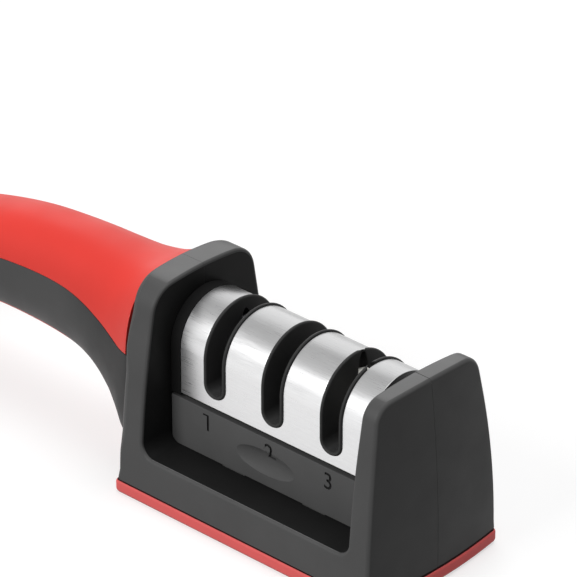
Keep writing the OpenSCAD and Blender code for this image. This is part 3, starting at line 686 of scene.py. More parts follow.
def outer_edge(s, end, p):
    """Rounding of an arch's outer edge at p: the rear one widens at the shoulder and below the grip."""
    if end == NOSE:
        return s.nose_edge
    low = clamped((44 * MM - p.y) / (8 * MM)) * (0.3 + 0.7 * root_share(p.y))
    shoulder = Vector((-s.shoulder_width / 2 + 2 * MM, s.rear_top - 5 * MM))
    near = clamped(1.6 - (p - shoulder).length / (6 * MM))
    return s.rear_edge + (s.root_edge - s.rear_edge) * max(low, 0.5 * near * near * (3 - 2 * near))


def outer_part(s, end, p, n):
    """Round the outer edge at p and across the nose or rear face to the middle plane."""
    edge = outer_edge(s, end, p)
    step = s.band_step if end == REAR else 0
    arcs = [(0, edge, step / 2, 3)] if step else []
    points = []
    for inward, back, r, steps in arcs + [(step, 0, edge, 5)]:
        for a in rounding(steps):
            q = p + n * (inward + r * (1 - cos(a)))
            points.append(Vector((end_face(s, end, *q) - end * (back + r * (1 - sin(a))), *q)))
    q = p + n * (step + edge)
    return points + [Vector((end_face(s, end, y, q.y), y, q.y)) for y in spaced(q.x, 0, 12)[1:]]


def arch_rib(s, end, p, n):
    """Across an arch at the outline's point p: inner face, rim, flank, outer edge, end face."""
    x = end * s.opening / 2
    q = p + n * s.rim_edge
    rib = [Vector((x, y, q.y)) for y in spaced(0, q.x, 8)[:-1]]
    for a in rounding(4):
        q = p + n * s.rim_edge * (1 - sin(a))
        rib.append(Vector((x + end * s.rim_edge * (1 - cos(a)), *q)))
    outer = outer_part(s, end, p, n)
    rib += [Vector((x_flank, *p)) for x_flank in spaced(rib[-1].x, outer[0].x, 3)[1:-1]]
    return rib + outer


def sill_rib(s, x, z, m, target):
    """From the middle plane over the window's rim at x, z and down the flank to the target x, z."""
    rib = [Vector((x, y, z)) for y in spaced(0, s.rim_edge - flank(s, z), 8)[:-1]]
    for a in rounding(4):
        inward = s.rim_edge * (1 - cos(a))
        low = z + m.y * inward
        rib.append(Vector((x + m.x * inward, -flank(s, low) + s.rim_edge * (1 - sin(a)), low)))
    start = rib[-1]
    for x, z in list(zip(spaced(start.x, target[0], 3), spaced(start.z, target[1], 3)))[1:]:
        rib.append(Vector((x, -flank(s, z), z)))
    return rib


def sill_ribs(s, end):
    """Ribs round one lower corner of the window, from the arch to the sill."""
    base = sizes("sole").height
    centre = Vector((end * (s.opening / 2 - s.sill_corner), s.deck + s.sill_corner))
    ribs = []
    for i in range(1, 2 * CORNER_STEPS + 1):
        a = pi / 4 * i / CORNER_STEPS
        m = Vector((end * cos(a), -sin(a)))
        z = max(base, centre.y + (base - centre.y) * i / CORNER_STEPS)
        p = Vector((-flank(s, z), z))
        x = end_face(s, end, flank(s, z), z) - end * outer_edge(s, end, p)
        x += (centre.x - x) * max(0, i - CORNER_STEPS) / CORNER_STEPS
        rim = centre + m * s.sill_corner
        rib = sill_rib(s, rim.x, rim.y, m, (x, z))
        if i <= CORNER_STEPS:
            rib += outer_part(s, end, p, Vector((1, 0)))[1:]
        ribs.append(rib)
    return ribs


def housing_half(s):
    """The front half of the housing as one closed solid: arches, sill, nose and rear faces."""
    bm = bmesh.new()
    start = s.deck + s.sill_corner
    rear = [arch_rib(s, REAR, p, n) for p, n in reversed(arch_outline(s, s.rear_top, s.rear_corner, start))]
    nose = [arch_rib(s, NOSE, p, n) for p, n in arch_outline(s, s.nose_top, s.nose_corner, start)]
    reach = s.opening / 2 - s.sill_corner
    sill = [sill_rib(s, x, s.deck, Vector((0, -1)), (x, sizes("sole").height))
            for x in spaced(-reach, reach, 14)[1:-1]]
    ribs = [vertices(bm, rib) for rib in rear + sill_ribs(s, REAR) + sill + sill_ribs(s, NOSE)[::-1] + nose]
    quads_between(bm, ribs)
    first = len(rear) + CORNER_STEPS - 1
    last = len(ribs) - len(nose) - CORNER_STEPS
    short = len(sill[0])
    middle = [bm.faces.new(ribs[0] + [ribs[1][-1], ribs[1][0]]),
              bm.faces.new(ribs[-1] + [ribs[-2][-1], ribs[-2][0]])]
    for one, two in list(zip(ribs, ribs[1:]))[1:-1]:
        if min(len(one), len(two)) > short:
            middle.append(bm.faces.new((one[0], one[-1], two[-1], two[0])))
    middle.append(bm.faces.new([rib[0] for rib in ribs[first:last + 1]] + [ribs[last][-1], ribs[first][-1]]))
    cap(bm, [rib[-1] for rib in ribs[first + 1:last]] + ribs[last][short - 1:] + ribs[first][:short - 2:-1])
    bmesh.ops.recalc_face_normals(bm, faces=bm.faces)
    rims = [e for e in bm.edges if sum(f in middle for f in e.link_faces) == 1]
    bmesh.ops.bevel(bm, geom=rims, offset=s.seam, segments=1, affect="EDGES")
    # The seam is finer over the rear arch
    for v in bm.verts:
        if v.co.x < 2 * MM - s.opening / 2 and v.co.z > start and abs(abs(v.co.y) - s.seam) < MERGE / 2:
            v.co.y *= 0.25
    tidy(bm)
    return bm


def housing_cuts(s):
    """Cuts of the front half: square corners round the module, the groove over the sole, the hollow below
    the deck and the deck's holes."""
    m = sizes("module")
    gap = 0.1 * MM
    under = s.deck - s.deck_thickness
    wall = sizes("sole").wall
    foot = sizes("sole").height
    g = s.foot_groove
    groove = [plan_loop(foot + h * g, grow) for h, grow in ((-1, -g), (1, -g), (1, MM), (-1, MM))]
    steps = [cut(solid_box((-s.opening / 2, -m.radius - 2 * gap, s.deck),
                           (s.opening / 2, MM, s.deck + s.sill_corner))),
             cut(sweep(groove + groove[:1], capped=False)),
             cut(solid_box((-s.length / 2 + wall, -s.width / 2 + wall + MM, 3 * MM),
                           (s.length / 2 - wall, MM, under), MM))]
    for end in (REAR, NOSE):
        peg = end * m.pitch * 4 / 3
        steps.append(cut(solid_bar((peg, 0, under - MM), (peg, 0, s.deck + MM), PEG_HOLE, 48)))
        leg = end * (m.pitch / 2 + 2 * m.panel_thickness)
        half = 2 * m.panel_thickness + 0.15 * MM
        steps.append(cut(solid_box((leg - half, -m.radius - gap, under - MM),
                                   (leg + half, -LEG_HOLE_INNER, s.deck + MM))))
    return steps


def housing_screw_sinks(s):
    """Round sinks of the screws in the back half, each in its boss: two over the sole, two in the handle."""
    places = []
    for station in SCREW_STATIONS:
        section = Section(station)
        middle = (section.crown + section.under) / 2
        places.append((middle.x, middle.z, section.half - 2 * sizes("handle").grip))
    places += [(end * SCREW_X, SCREW_Z, BOSS_LENGTH) for end in (REAR, NOSE)]
    steps = [add(solid_bar((x, 0, z), (x, reach, z), BOSS_RADIUS)) for x, z, reach in places]
    for x, z, _ in places:
        for start, radius, sides in ((SCREW_SEAT, HEAD_HOLE, 40), (-MM, SHANK_HOLE, 24)):
            steps.append(cut(solid_bar((x, start, z), (x, s.width, z), radius, sides)))
    return steps


def paint_recess_shade(s, made):
    """Painted shade: the inner faces of the saddle and the groove over the sole take a much darker, slightly
    smoother copy of the housing's plastic, which stands for the shade in them.
    """
    tol = 0.02 * MM
    bay = sizes("module").radius + 0.2 * MM

    def inside(p):
        if abs(p.x) > s.opening / 2 + tol or p.z < s.deck - tol:
            return False
        across = max(0, abs(p.x) - (s.opening / 2 - s.sill_corner))
        down = max(0, s.deck + s.sill_corner - p.z)
        return abs(p.y) <= bay + tol or hypot(across, down) <= s.sill_corner + tol

    def in_groove(p):
        return abs(p.z - sizes("sole").height) < s.foot_groove + tol

    def dark(face):
        corners = [made.data.vertices[i].co for i in face.vertices]
        return all(map(inside, corners)) or all(map(in_groove, corners))

    # Painted shade: the chosen faces take the much darker copy of the plastic
    recolour(made, "recess_shade_plastic", dark)


# Shapes of the handle

# Rows from arch to tail: x of crown and of underside along the reach, heights of both over the top height,
# width over the width, how much the root's size still counts, and the squareness of the section
STATION_SHARES = (
    (-0.017, -0.010, 1.000, 0.085, 1.000, 1.00, 3.4),
    (-0.004, 0.004, 1.000, 0.085, 1.000, 1.00, 3.2),
    (0.022, 0.045, 0.989, 0.090, 1.000, 0.84, 2.9),
    (0.064, 0.072, 0.973, 0.160, 1.000, 0.65, 2.65),
    (0.124, 0.107, 0.968, 0.243, 1.000, 0.41, 2.5),
    (0.192, 0.166, 0.975, 0.336, 1.000, 0.19, 2.4),
    (0.259, 0.234, 0.980, 0.395, 1.000, 0.05, 2.35),
    (0.344, 0.319, 0.974, 0.420, 0.990, 0.00, 2.3),
    (0.446, 0.420, 0.951, 0.434, 0.990, 0.00, 2.3),
    (0.547, 0.514, 0.911, 0.434, 1.000, 0.00, 2.3),
    (0.649, 0.598, 0.858, 0.408, 1.005, 0.00, 2.3),
    (0.751, 0.683, 0.793, 0.363, 1.000, 0.00, 2.3),
    (0.853, 0.768, 0.714, 0.306, 0.985, 0.00, 2.3),
    (0.937, 0.844, 0.637, 0.243, 0.930, 0.00, 2.3),
    (0.975, 0.895, 0.585, 0.216, 0.850, 0.00, 2.3),
    (0.992, 0.932, 0.530, 0.245, 0.660, 0.00, 2.2),
    (1.000, 0.962, 0.475, 0.298, 0.410, 0.00, 2.1),
    (1.001, 0.985, 0.425, 0.355, 0.150, 0.00, 2.0),
)
LAST_STATION = len(STATION_SHARES) - 1
STATION_STEPS = 5
STRIP_STATION = 2.5
LINE_STATION = 4


def eased(u, column):
    """A station column between its rows, along a smooth curve."""
    i = min(int(u), LAST_STATION - 1)
    t = u - i
    rows = STATION_SHARES
    a, b = rows[max(i - 1, 0)][column], rows[i][column]
    c, d = rows[i + 1][column], rows[min(i + 2, LAST_STATION)][column]
    return b + t * ((c - a) / 2 + t * ((2 * a - 5 * b + 4 * c - d) / 2 + t * (3 * b - a - 3 * c + d) / 2))


class Section:
    """The handle's cross-section at one station."""

    def __init__(self, u):
        h = sizes("handle")
        s = sizes("housing")
        root = eased(u, 5)
        top = h.top * eased(u, 2) + (s.rear_top - h.crown_step - h.top) * root
        self.u = u
        self.crown = Vector((-s.length / 2 - h.reach * eased(u, 0), 0, top))
        self.under = Vector((-s.length / 2 - h.reach * eased(u, 1), 0, h.top * eased(u, 3)))
        self.half = h.width / 2 * eased(u, 4) + (s.shoulder_width / 2 + h.arch_step - h.width / 2) * root
        self.power = eased(u, 6)

    def point(self, angle, inset):
        """Angle 0 is the crown, 90 the front and 180 the underside, in degrees."""
        axis = (self.crown - self.under) / 2
        least = 0.05 * MM
        wide = max(self.half - inset, least)
        high = max(axis.length - inset, least) / axis.length
        a = radians(angle)
        up = copysign(abs(cos(a)) ** (2 / self.power), cos(a)) * high
        out = 0.0 if angle in (0, 180) else copysign(abs(sin(a)) ** (2 / self.power), sin(a)) * wide
        return (self.crown + self.under) / 2 + axis * up + Vector((0, -out, 0))

    def line(self, low, high, t):
        """Angle at which a colour line stands, from shares of the section's half height."""
        at = low + (high - low) * clamped(t)
        return acos(copysign(abs(at) ** (self.power / 2), at)) * 180 / pi

    def grip_line(self):
        h = sizes("handle")
        return self.line(h.root_line, h.grip_line, self.u / LINE_STATION)

    def strip_line(self):
        h = sizes("handle")
        return self.line(h.strip_tip, h.strip_line, (self.u - STRIP_STATION) / LINE_STATION)

    def strip_depth(self):
        h = sizes("handle")
        if self.u < STRIP_STATION:
            return h.bond
        return h.strip * min(1, (self.u - STRIP_STATION + 0.5) / 1.5) + h.bond

    def hollow(self):
        h = sizes("handle")
        return h.grip + h.wall + max(0, self.u - LAST_STATION + 1) * h.width / 2


def handle_sections(start, end):
    return [Section(u) for u in spaced(start, end, round((end - start) * STATION_STEPS))]


def loft(rings, lips):
    """A closed C-shaped solid: each ring is an outer run and as many inner points back. Lips are rounded."""
    bm = bmesh.new()
    rows = [vertices(bm, ring) for ring in rings]
    quads_between(bm, [row + row[:1] for row in rows])
    half = len(rows[0]) // 2
    for row in (rows[0], rows[-1]):
        for k in range(half - 1):
            bm.faces.new((row[k], row[k + 1], row[-2 - k], row[-1 - k]))
    lines = [bm.edges.get((one[k], two[k])) for k in lips for one, two in zip(rows, rows[1:])]
    bmesh.ops.recalc_face_normals(bm, faces=bm.faces)
    rounded(bm, [edge for edge in lines if edge], sizes("handle").lip)
    bmesh.ops.remove_doubles(bm, verts=bm.verts, dist=MERGE)
    return bm


def core_half():
    """Front half of the handle's core, recessed for the grip and the strip."""
    h = sizes("handle")
    grip_steps = 10
    side_steps = 9
    strip_steps = 5
    rings = []
    for section in handle_sections(0, LAST_STATION):
        top = section.grip_line()
        low = section.strip_line()
        run = [(a, h.grip + h.bond) for a in spaced(0, top, grip_steps)]
        run += [(a, 0.0) for a in spaced(top, low, side_steps)]
        run += [(a, section.strip_depth()) for a in spaced(low, 180, strip_steps)]
        run += [(a, section.hollow()) for a in spaced(180, 0, len(run) - 1)]
        rings.append([section.point(a, inset) for a, inset in run])
    return loft(rings, (grip_steps + 1, grip_steps + 1 + side_steps))


def soft_run(sections, middle, half_angle, depth, steps):
    """A soft part over the handle: half_angle and depth are functions of a section."""
    rings = []
    for section in sections:
        wide = half_angle(section)
        run = spaced(middle - wide, middle + wide, 2 * steps)
        points = [section.point(a, 0.0) for a in run]
        points += [section.point(a, depth(section)) for a in reversed(run)]
        rings.append([behind_face(p) for p in points])
    return loft(rings, (0, 2 * steps))


def behind_face(p):
    """Moves a point of a soft part back from the housing's rear face."""
    root = end_face(sizes("housing"), REAR, p.y, p.z) - sizes("handle").root_gap
    return Vector((min(p.x, root), p.y, p.z))


# Shapes of the sole


def plan_loop(z, grow):
    """The sole's plan outline at height z, grown or shrunk all round."""
    s = sizes("housing")
    steps = 8
    half = s.width / 2 + grow
    r = sizes("sole").corner + min(0, grow - sizes("sole").proud)

    def nose(y):
        return s.length / 2 + grow - s.nose_bulge * (y / (s.width / 2)) ** 2

    corners = ((nose(half - r) - r, half - r, 0), (-s.length / 2 - grow + r, half - r, 1),
               (-s.length / 2 - grow + r, r - half, 2), (nose(half - r) - r, r - half, 3))
    loop = []
    for x, y, quarter in corners:
        for i in range(steps + 1):
            a = pi / 2 * (quarter + i / steps)
            loop.append(Vector((x + r * cos(a), y + r * sin(a), z)))
    loop += [Vector((nose(y), y, z)) for y in spaced(r - half, half - r, 12)[1:-1]]
    return loop


# Shapes of the module, drawn flat and bent over its round top: x along the module, s up the front flank
# from the round top's start, over the top and down the back, h out of the sheet's outer face


def bent(m, x, s, h):
    """Point of the bent sheet."""
    r = m.radius
    if s < 0:
        return Vector((x, -r - h, m.axis + s))
    if s > pi * r:
        return Vector((x, r + h, m.axis - (s - pi * r)))
    return Vector((x, -(r + h) * cos(s / r), m.axis + (r + h) * sin(s / r)))


def top_rows(m):
    """Rows over the round top between the centres of a slot's round ends."""
    start = m.slot_low + m.slot / 2 - m.axis
    return [start] + spaced(0, pi * m.radius, 48) + [pi * m.radius - start]


def slotted_sheet(m):
    """The cover's sheet with its slots as a closed solid with rounded rims."""
    bm = bmesh.new()
    pairs = {}

    def face(loop):
        both = []
        for x, s in loop:
            key = (round(x, 7), round(s, 7))
            if key not in pairs:
                pairs[key] = (bm.verts.new(bent(m, x, s, 0)), bm.verts.new(bent(m, x, s, -m.sheet)))
            both.append(pairs[key])
        bm.faces.new([one for one, two in both])
        bm.faces.new([two for one, two in reversed(both)])

    half = m.cover_length / 2
    w = m.slot / 2
    rows = top_rows(m)
    edges = [-half] + [i * m.pitch + side * w for i in (-1, 0, 1) for side in (-1, 1)] + [half]
    for x0, x1 in zip(edges[::2], edges[1::2]):
        columns = spaced(x0, x1, 2)
        for s0, s1 in zip(rows, rows[1:]):
            for xa, xb in zip(columns, columns[1:]):
                face([(xa, s0), (xb, s0), (xb, s1), (xa, s1)])
    low = m.low - m.axis
    for foot, start, turn in ((low, rows[0], -1), (pi * m.radius - low, rows[-1], 1)):
        loop = [(-half, foot), (half, foot), (half, start)]
        for i in (1, 0, -1):
            x = i * m.pitch
            middle = ((x + w) + (x + m.pitch - w if i < 1 else half)) / 2
            loop.append((middle, start))
            loop += [(x + w * cos(a), start + turn * w * sin(a)) for a in spaced(0, pi, 16)]
        loop += [((-half - m.pitch - w) / 2, start), (-half, start)]
        face(loop)
    inner = {one: two for one, two in pairs.values()}
    for edge in [e for e in bm.edges if e.is_boundary]:
        a, b = edge.verts
        if a in inner and b in inner:
            bm.faces.new((a, b, inner[b], inner[a]))
    bmesh.ops.recalc_face_normals(bm, faces=bm.faces)
    rounded(bm, [e for e in bm.edges if e.calc_face_angle(0) > radians(60)], 0.16 * MM)
    return bm


def stadium(m, x, w, h):
    """Loop round a slot at half width w and height h over the sheet."""
    rows = top_rows(m)
    rounds = spaced(0, pi, ROUND_STEPS)
    loop = [(w, s) for s in rows[1:-1]]
    loop += [(w * cos(a), rows[-1] + w * sin(a)) for a in rounds]
    loop += [(-w, s) for s in rows[-2:0:-1]]
    loop += [(-w * cos(a), rows[0] - w * sin(a)) for a in rounds]
    return [bent(m, x + dx, s, h) for dx, s in loop]


def channel_ends(bm, ring, sides):
    """Closes a stadium ring with its two side walls and its round channel."""
    back = ring[sides:sides + ROUND_STEPS + 1]
    front = ring[2 * sides + ROUND_STEPS + 1:][::-1]
    bm.faces.new(ring[-1:] + ring[:sides + 1])
    bm.faces.new(ring[sides + ROUND_STEPS:2 * sides + ROUND_STEPS + 2])
    for i in range(ROUND_STEPS):
        bm.faces.new((back[i], back[i + 1], front[i + 1], front[i]))


def lip_channel(m, x):
    """The rounded lip of a slot with the channel that a blade is pulled through."""
    outer = m.slot / 2 - 0.1 * MM
    inner = 2.75 * MM
    # Half width of the loop, and its height over the sheet in millimetres
    profile = [(outer, -1.2), (outer, 0.12), (outer - 0.04 * MM, 0.3), (outer - 0.16 * MM, 0.44),
               (outer - 0.34 * MM, 0.5), (inner + 0.36 * MM, 0.48), (inner + 0.16 * MM, 0.38),
               (inner + 0.04 * MM, 0.2), (inner, 0)]
    bm = bmesh.new()
    rings = [vertices(bm, stadium(m, x, w, h * MM)) for w, h in profile]
    quads_between(bm, [ring + ring[:1] for ring in rings])
    sides = len(top_rows(m)) - 2
    channel_ends(bm, rings[0], sides)
    channel_ends(bm, rings[-1], sides)
    tidy(bm)
    return bm


def stage_block_body(m, x):
    """A stage block's upper part, which fills the round top under the cover."""
    r = m.radius - m.sheet - 0.2 * MM
    loops = []
    for end in (x - BLOCK_HALF, x + BLOCK_HALF):
        loop = [Vector((end, -r * cos(a), m.axis + r * sin(a))) for a in spaced(0, pi, 48)]
        loops.append(loop + [Vector((end, r, BLOCK_SHOULDER)), Vector((end, -r, BLOCK_SHOULDER))])
    return sweep(loops)


def slot_prism(m, x):
    """A block's slot through the whole module: round below and open above."""
    w = BLOCK_SLOT / 2
    middle = m.slot_low + 0.6 * MM + w
    loops = []
    for y in (-30 * MM, 30 * MM):
        loop = [Vector((x - w * cos(a), y, middle - w * sin(a))) for a in spaced(0, pi, 24)]
        loops.append(loop + [Vector((x + w, y, 80 * MM)), Vector((x - w, y, 80 * MM))])
    return sweep(loops)


def stage_block_steps(m, x):
    """The block's foot, its slot, its lip and the pilot hole of its screw."""
    half = 7.5 * MM
    lower = solid_box((x - BLOCK_HALF, -half, BLOCK_FOOT), (x + BLOCK_HALF, half, m.axis), 0.3 * MM)
    pilot = solid_bar((x, 0, BLOCK_FOOT - MM), (x, 0, PILOT_TOP), PILOT_RADIUS, 24)
    return [add(lower), cut(slot_prism(m, x)), add(lip_channel(m, x)), cut(pilot)]


def abrasive_pockets(m, stage):
    """Pockets for a stage's rods, or for its plates and their screws."""
    steps = []
    for side in (FRONT, BACK):
        if stage in RODS:
            thick, lean = RODS[stage]
            middle = Vector((stage * m.pitch, side * (thick / 2 + 0.15 * MM), CONTACT_HEIGHT))
            along = Vector((-side * sin(lean), 0, cos(lean)))
            steps.append(cut(solid_bar(middle - along * 10.5 * MM, middle + along * 30 * MM,
                                       thick / 2 + 0.1 * MM)))
        else:
            turn = Matrix.Rotation(0 if side == FRONT else pi, 4, "Z")
            lean = Matrix.Translation((0, -0.1 * MM, CONTACT_HEIGHT)) @ Matrix.Rotation(PLATE_LEAN, 4, "Y")
            pocket = solid_box((-0.1 * MM, -2.1 * MM, -3.1 * MM), (5.1 * MM, 0.1 * MM, 30 * MM))
            bmesh.ops.transform(pocket, matrix=turn @ lean, verts=pocket.verts)
            steps.append(cut(pocket))
    return steps


def panel_plate(m):
    """The flat plate of the front panel with rounded lower corners and softened edges."""
    x, low, high = PANEL_HIGH.x, PANEL_FOOT, PANEL_HIGH.z - m.panel_drop
    corner = m.panel_thickness

    def loop(y, inset):
        r = corner - inset
        points = []
        for centre, start in ((x - corner, 0), (corner - x, 1)):
            for k in range(9):
                a = -pi / 2 * (start + k / 8)
                points.append(Vector((centre + r * cos(a), y, low + corner + r * sin(a))))
        return points + [Vector((inset - x, y, high - inset)), Vector((x - inset, y, high - inset))]

    e = m.panel_edge
    front, back = -m.radius, -m.radius + m.panel_thickness
    rows = [(front, e), (front + 0.12 * e, 0.4 * e), (front + 0.4 * e, 0.12 * e), (front + e, 0),
            (back - e, 0), (back - 0.3 * e, 0.3 * e), (back, e)]
    return sweep([loop(y, inset) for y, inset in rows])


def bowl_depth(m, x, z):
    """Depth of the thumb dimple at a point of the panel's face."""
    across = (x + m.dimple_length / 8) / (m.dimple_length / 2)
    rho = hypot(across, (z - DIMPLE_HEIGHT) / (m.dimple_height / 2))
    return m.dimple_depth * (1 - min(1, rho) ** 2.2)


def thumb_dimple(m):
    """A bowl that is cut from the panel: oval, with a steeper wall towards its rim."""
    x, z = -m.dimple_length / 8, DIMPLE_HEIGHT
    loops = []
    for rho in (1.0, 0.97, 0.93, 0.87, 0.78, 0.66, 0.5, 0.32, 0.12):
        depth = bowl_depth(m, x + m.dimple_length / 2 * rho, z)
        loops.append([Vector((x + m.dimple_length / 2 * rho * cos(a), -m.radius + depth,
                              z + m.dimple_height / 2 * rho * sin(a))) for a in spaced(0, 2 * pi, 72)[:-1]])
    first = [Vector((p.x, -m.radius - MM, p.z)) for p in loops[0]]
    return sweep([first] + loops)


def panel_steps(m):
    """Dimple, posts and legs of the front panel."""
    inner = -m.radius + m.panel_thickness
    steps = [cut(thumb_dimple(m))]
    for end in (REAR, NOSE):
        x = end * POST_X
        steps.append(add(solid_bar((x, inner - 0.1 * MM, POST_Z), (x, inner + 6 * MM, POST_Z),
                                   2 * MM, 40, 0.3 * MM)))
        x = end * (m.pitch / 2 + 4 * MM)
        steps.append(add(solid_box((x - 4 * MM, inner - 1.8 * MM, 10.4 * MM),
                                   (x + 4 * MM, inner, 16.2 * MM), 0.25 * MM)))
    return steps


def paint_digit_shade(m, made):
    """Painted shade: gives the engraved digits a much darker copy of the housing's plastic, which stands for
    the shade in the engraving.
    """

    def engraved(face):
        c = face.center
        sunk = c.y + m.radius - bowl_depth(m, c.x, c.z)
        if not 0.08 * MM < sunk < 1.5 * m.digit_depth or c.y >= -m.radius + 0.9 * m.panel_thickness:
            return False
        return any(abs(c.x - x * MM) < m.digit / 2 and abs(c.z - z * MM) < m.digit * 0.6
                   for _, x, z in DIGITS)

    recolour(made, "digit_shade_plastic", engraved)


def engraved_digit(m, digit, x, z):
    """A digit as a solid that stands in the front panel's face and follows its dimple."""
    curve = bpy.data.curves.new("digit", "FONT")
    curve.body = digit
    curve.align_x = "CENTER"
    curve.align_y = "CENTER"
    curve.size = m.digit / DIGIT_SHARE
    curve.extrude = m.digit_depth
    curve.offset = m.digit_weight
    curve.resolution_u = 6
    text = bpy.data.objects.new("digit", curve)
    bpy.context.scene.collection.objects.link(text)
    bpy.context.view_layer.update()
    mesh = bpy.data.meshes.new_from_object(text.evaluated_get(bpy.context.evaluated_depsgraph_get()))
    bm = bmesh.new()
    bm.from_mesh(mesh)
    bpy.data.objects.remove(text)
    bpy.data.meshes.remove(mesh)
    bmesh.ops.remove_doubles(bm, verts=bm.verts, dist=1e-6)
    heights = [v.co.y for v in bm.verts]
    upright = Matrix.Translation((x * MM, -m.radius, z * MM)) @ Matrix.Rotation(pi / 2, 4, "X")
    centred = Matrix.Translation((0, -(min(heights) + max(heights)) / 2, 0))
    bmesh.ops.transform(bm, matrix=upright @ centred, verts=bm.verts)
    for v in bm.verts:
        if v.co.y > -m.radius:
            v.co.y += bowl_depth(m, v.co.x, v.co.z)
    bmesh.ops.recalc_face_normals(bm, faces=bm.faces)
    return bm


def digit_flag(m):
    """The short stroke at the top left of the 1."""
    x, z = DIGITS[0][1] * MM, DIGITS[0][2] * MM + m.digit * 0.43
    return solid_box((x - 1.7 * MM, -m.radius - m.digit_depth, z - 0.25 * MM),
                     (x, -m.radius + m.digit_depth, z + 0.25 * MM))


# Operators, one for each piece or group of like pieces


class SHARPENER_OT_housing(Operator):
    """Builds both housing shells with the handle's core moulded on"""
    bl_idname = "sharpener.housing"
    bl_label = "Housing shells"

    def execute(self, context):
        s = sizes("housing")
        for side, node in ((FRONT, "front_housing_shell"), (BACK, "back_housing_shell")):
            body = housing_half(s)
            steps = housing_cuts(s) + [add(core_half())]
            if side == BACK:
                body = mirrored(body)
                steps = [(operation, mirrored(solid)) for operation, solid in steps] + housing_screw_sinks(s)
            paint_recess_shade(s, make(node, "housing", "black_plastic", body, steps))
        return {"FINISHED"}


class SHARPENER_OT_grip(Operator):
    """Builds the soft grip over the handle and the soft strip under it"""
    bl_idname = "sharpener.grip"
    bl_label = "Handle grip and strip"

    def execute(self, context):
        h = sizes("handle")
        grip = soft_run(handle_sections(1, LAST_STATION), 0, lambda c: c.grip_line(), lambda c: h.grip, 12)
        make("handle_top_grip", "housing", "red_rubber", grip)
        strip = soft_run(handle_sections(STRIP_STATION, LAST_STATION - 0.4), 180,
                         lambda c: 180 - c.strip_line(), lambda c: c.strip_depth() - h.bond, 6)
        make("handle_underside_strip", "housing", "red_rubber", strip)
        return {"FINISHED"}


class SHARPENER_OT_sole(Operator):
    """Builds the non-slip sole with its proud band, its tray and its treads"""
    bl_idname = "sharpener.sole"
    bl_label = "Non-slip sole"

    def execute(self, context):
        s = sizes("sole")
        upper = 0.6 * s.edge
        profile = [(s.edge * (1 - sin(a)), s.proud - s.edge * (1 - cos(a))) for a in reversed(rounding(9))]
        profile += [(s.height - upper * (1 - sin(a)), s.proud - upper * (1 - cos(a))) for a in rounding(5)]
        profile += [(s.height, -s.wall), (s.floor, -s.wall)]
        tray = sweep([plan_loop(z, grow) for z, grow in profile])
        treads = []
        half = sizes("housing").length / 2 * s.tread_share
        across = 0.3 * sizes("housing").width + 3.4 * MM
        for x in spaced(-half, half, s.treads + 1)[1:-1]:
            treads.append(cut(solid_box((x - s.tread_width / 2, -across, -MM),
                                        (x + s.tread_width / 2, across, s.tread_depth), 0.2 * MM)))
        made = make("nonslip_sole", "housing", "sole_rubber", tray, treads)
        # Painted shade: dark lines along the sole's lower edge, standing for its contact shadow, and along
        # its upper ledge under the shells
        recolour(made, "shade_rubber", lambda face: s.tread_depth < face.center.z < s.shade_height
                 or face.center.z > s.height - s.ledge_shade)
        return {"FINISHED"}


class SHARPENER_OT_cover(Operator):
    """Builds the bent steel cover with its three slots and its tabs"""
    bl_idname = "sharpener.cover"
    bl_label = "Steel cover"

    def execute(self, context):
        m = sizes("module")
        tabs = []
        for end in (REAR, NOSE):
            for side in (FRONT, BACK):
                x = end * m.pitch / 2
                reach = sorted((side * (m.radius - 0.4 * m.sheet), side * (m.radius - m.sheet - 2 * MM)))
                tabs.append(add(solid_box((x - m.tab / 2, reach[0], m.low),
                                          (x + m.tab / 2, reach[1], m.low + m.sheet), 0.15 * MM)))
        make("steel_cover", "sharpening_module", "cover_steel", slotted_sheet(m), tabs)
        return {"FINISHED"}


class SHARPENER_OT_inserts(Operator):
    """Builds the three stage blocks with their rounded lips round the slots"""
    bl_idname = "sharpener.inserts"
    bl_label = "Stage blocks"

    def execute(self, context):
        m = sizes("module")
        for stage, name in ((-1, "diamond"), (0, "carbide"), (1, "ceramic")):
            x = stage * m.pitch
            make(name + "_stage_block", "sharpening_module", "insert_plastic", stage_block_body(m, x),
                 stage_block_steps(m, x) + abrasive_pockets(m, stage))
        return {"FINISHED"}


class SHARPENER_OT_panels(Operator):
    """Builds both release panels, with the digits engraved in the front one"""
    bl_idname = "sharpener.panels"
    bl_label = "Release panels"

    def execute(self, context):
        m = sizes("module")
        digits = [cut(engraved_digit(m, *digit)) for digit in DIGITS] + [cut(digit_flag(m))]
        # Painted light: both panels take the lighter copy of the housing's plastic
        front = make("front_release_panel", "front_panel", "black_plastic", panel_plate(m),
                     panel_steps(m) + digits, "lit_panel_plastic", 28)
        # Painted shade in the engraved digits
        paint_digit_shade(m, front)
        back = make("back_release_panel", "back_panel", "black_plastic", panel_plate(m), panel_steps(m),
                    "lit_panel_plastic", 28)
        back.data.transform(Matrix.Rotation(pi, 4, "Z"))
        return {"FINISHED"}


class SHARPENER_OT_leaf_springs(Operator):
    """Builds the bowed strips behind the panels"""
    bl_idname = "sharpener.leaf_springs"
    bl_label = "Leaf springs"

    def execute(self, context):
        m = sizes("module")
        thick = m.sheet / 3
        for side, name in ((FRONT, "front"), (BACK, "back")):
            low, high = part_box(name + "_leaf_spring")
            wall = high.y if side == FRONT else low.y
            depth = high.y - low.y
            loops = []
            for x in spaced(low.x, high.x, 36):
                near = wall + side * (depth - thick) * (x / high.x) ** 2
                far = near + side * thick
                loops.append([Vector((x, near, low.z)), Vector((x, near, high.z)),
                              Vector((x, far, high.z)), Vector((x, far, low.z))])
            made = make(name + "_leaf_spring", "sharpening_module", "spring_steel", sweep(loops),
                        suffix="_strip")
            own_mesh(made)
        return {"FINISHED"}


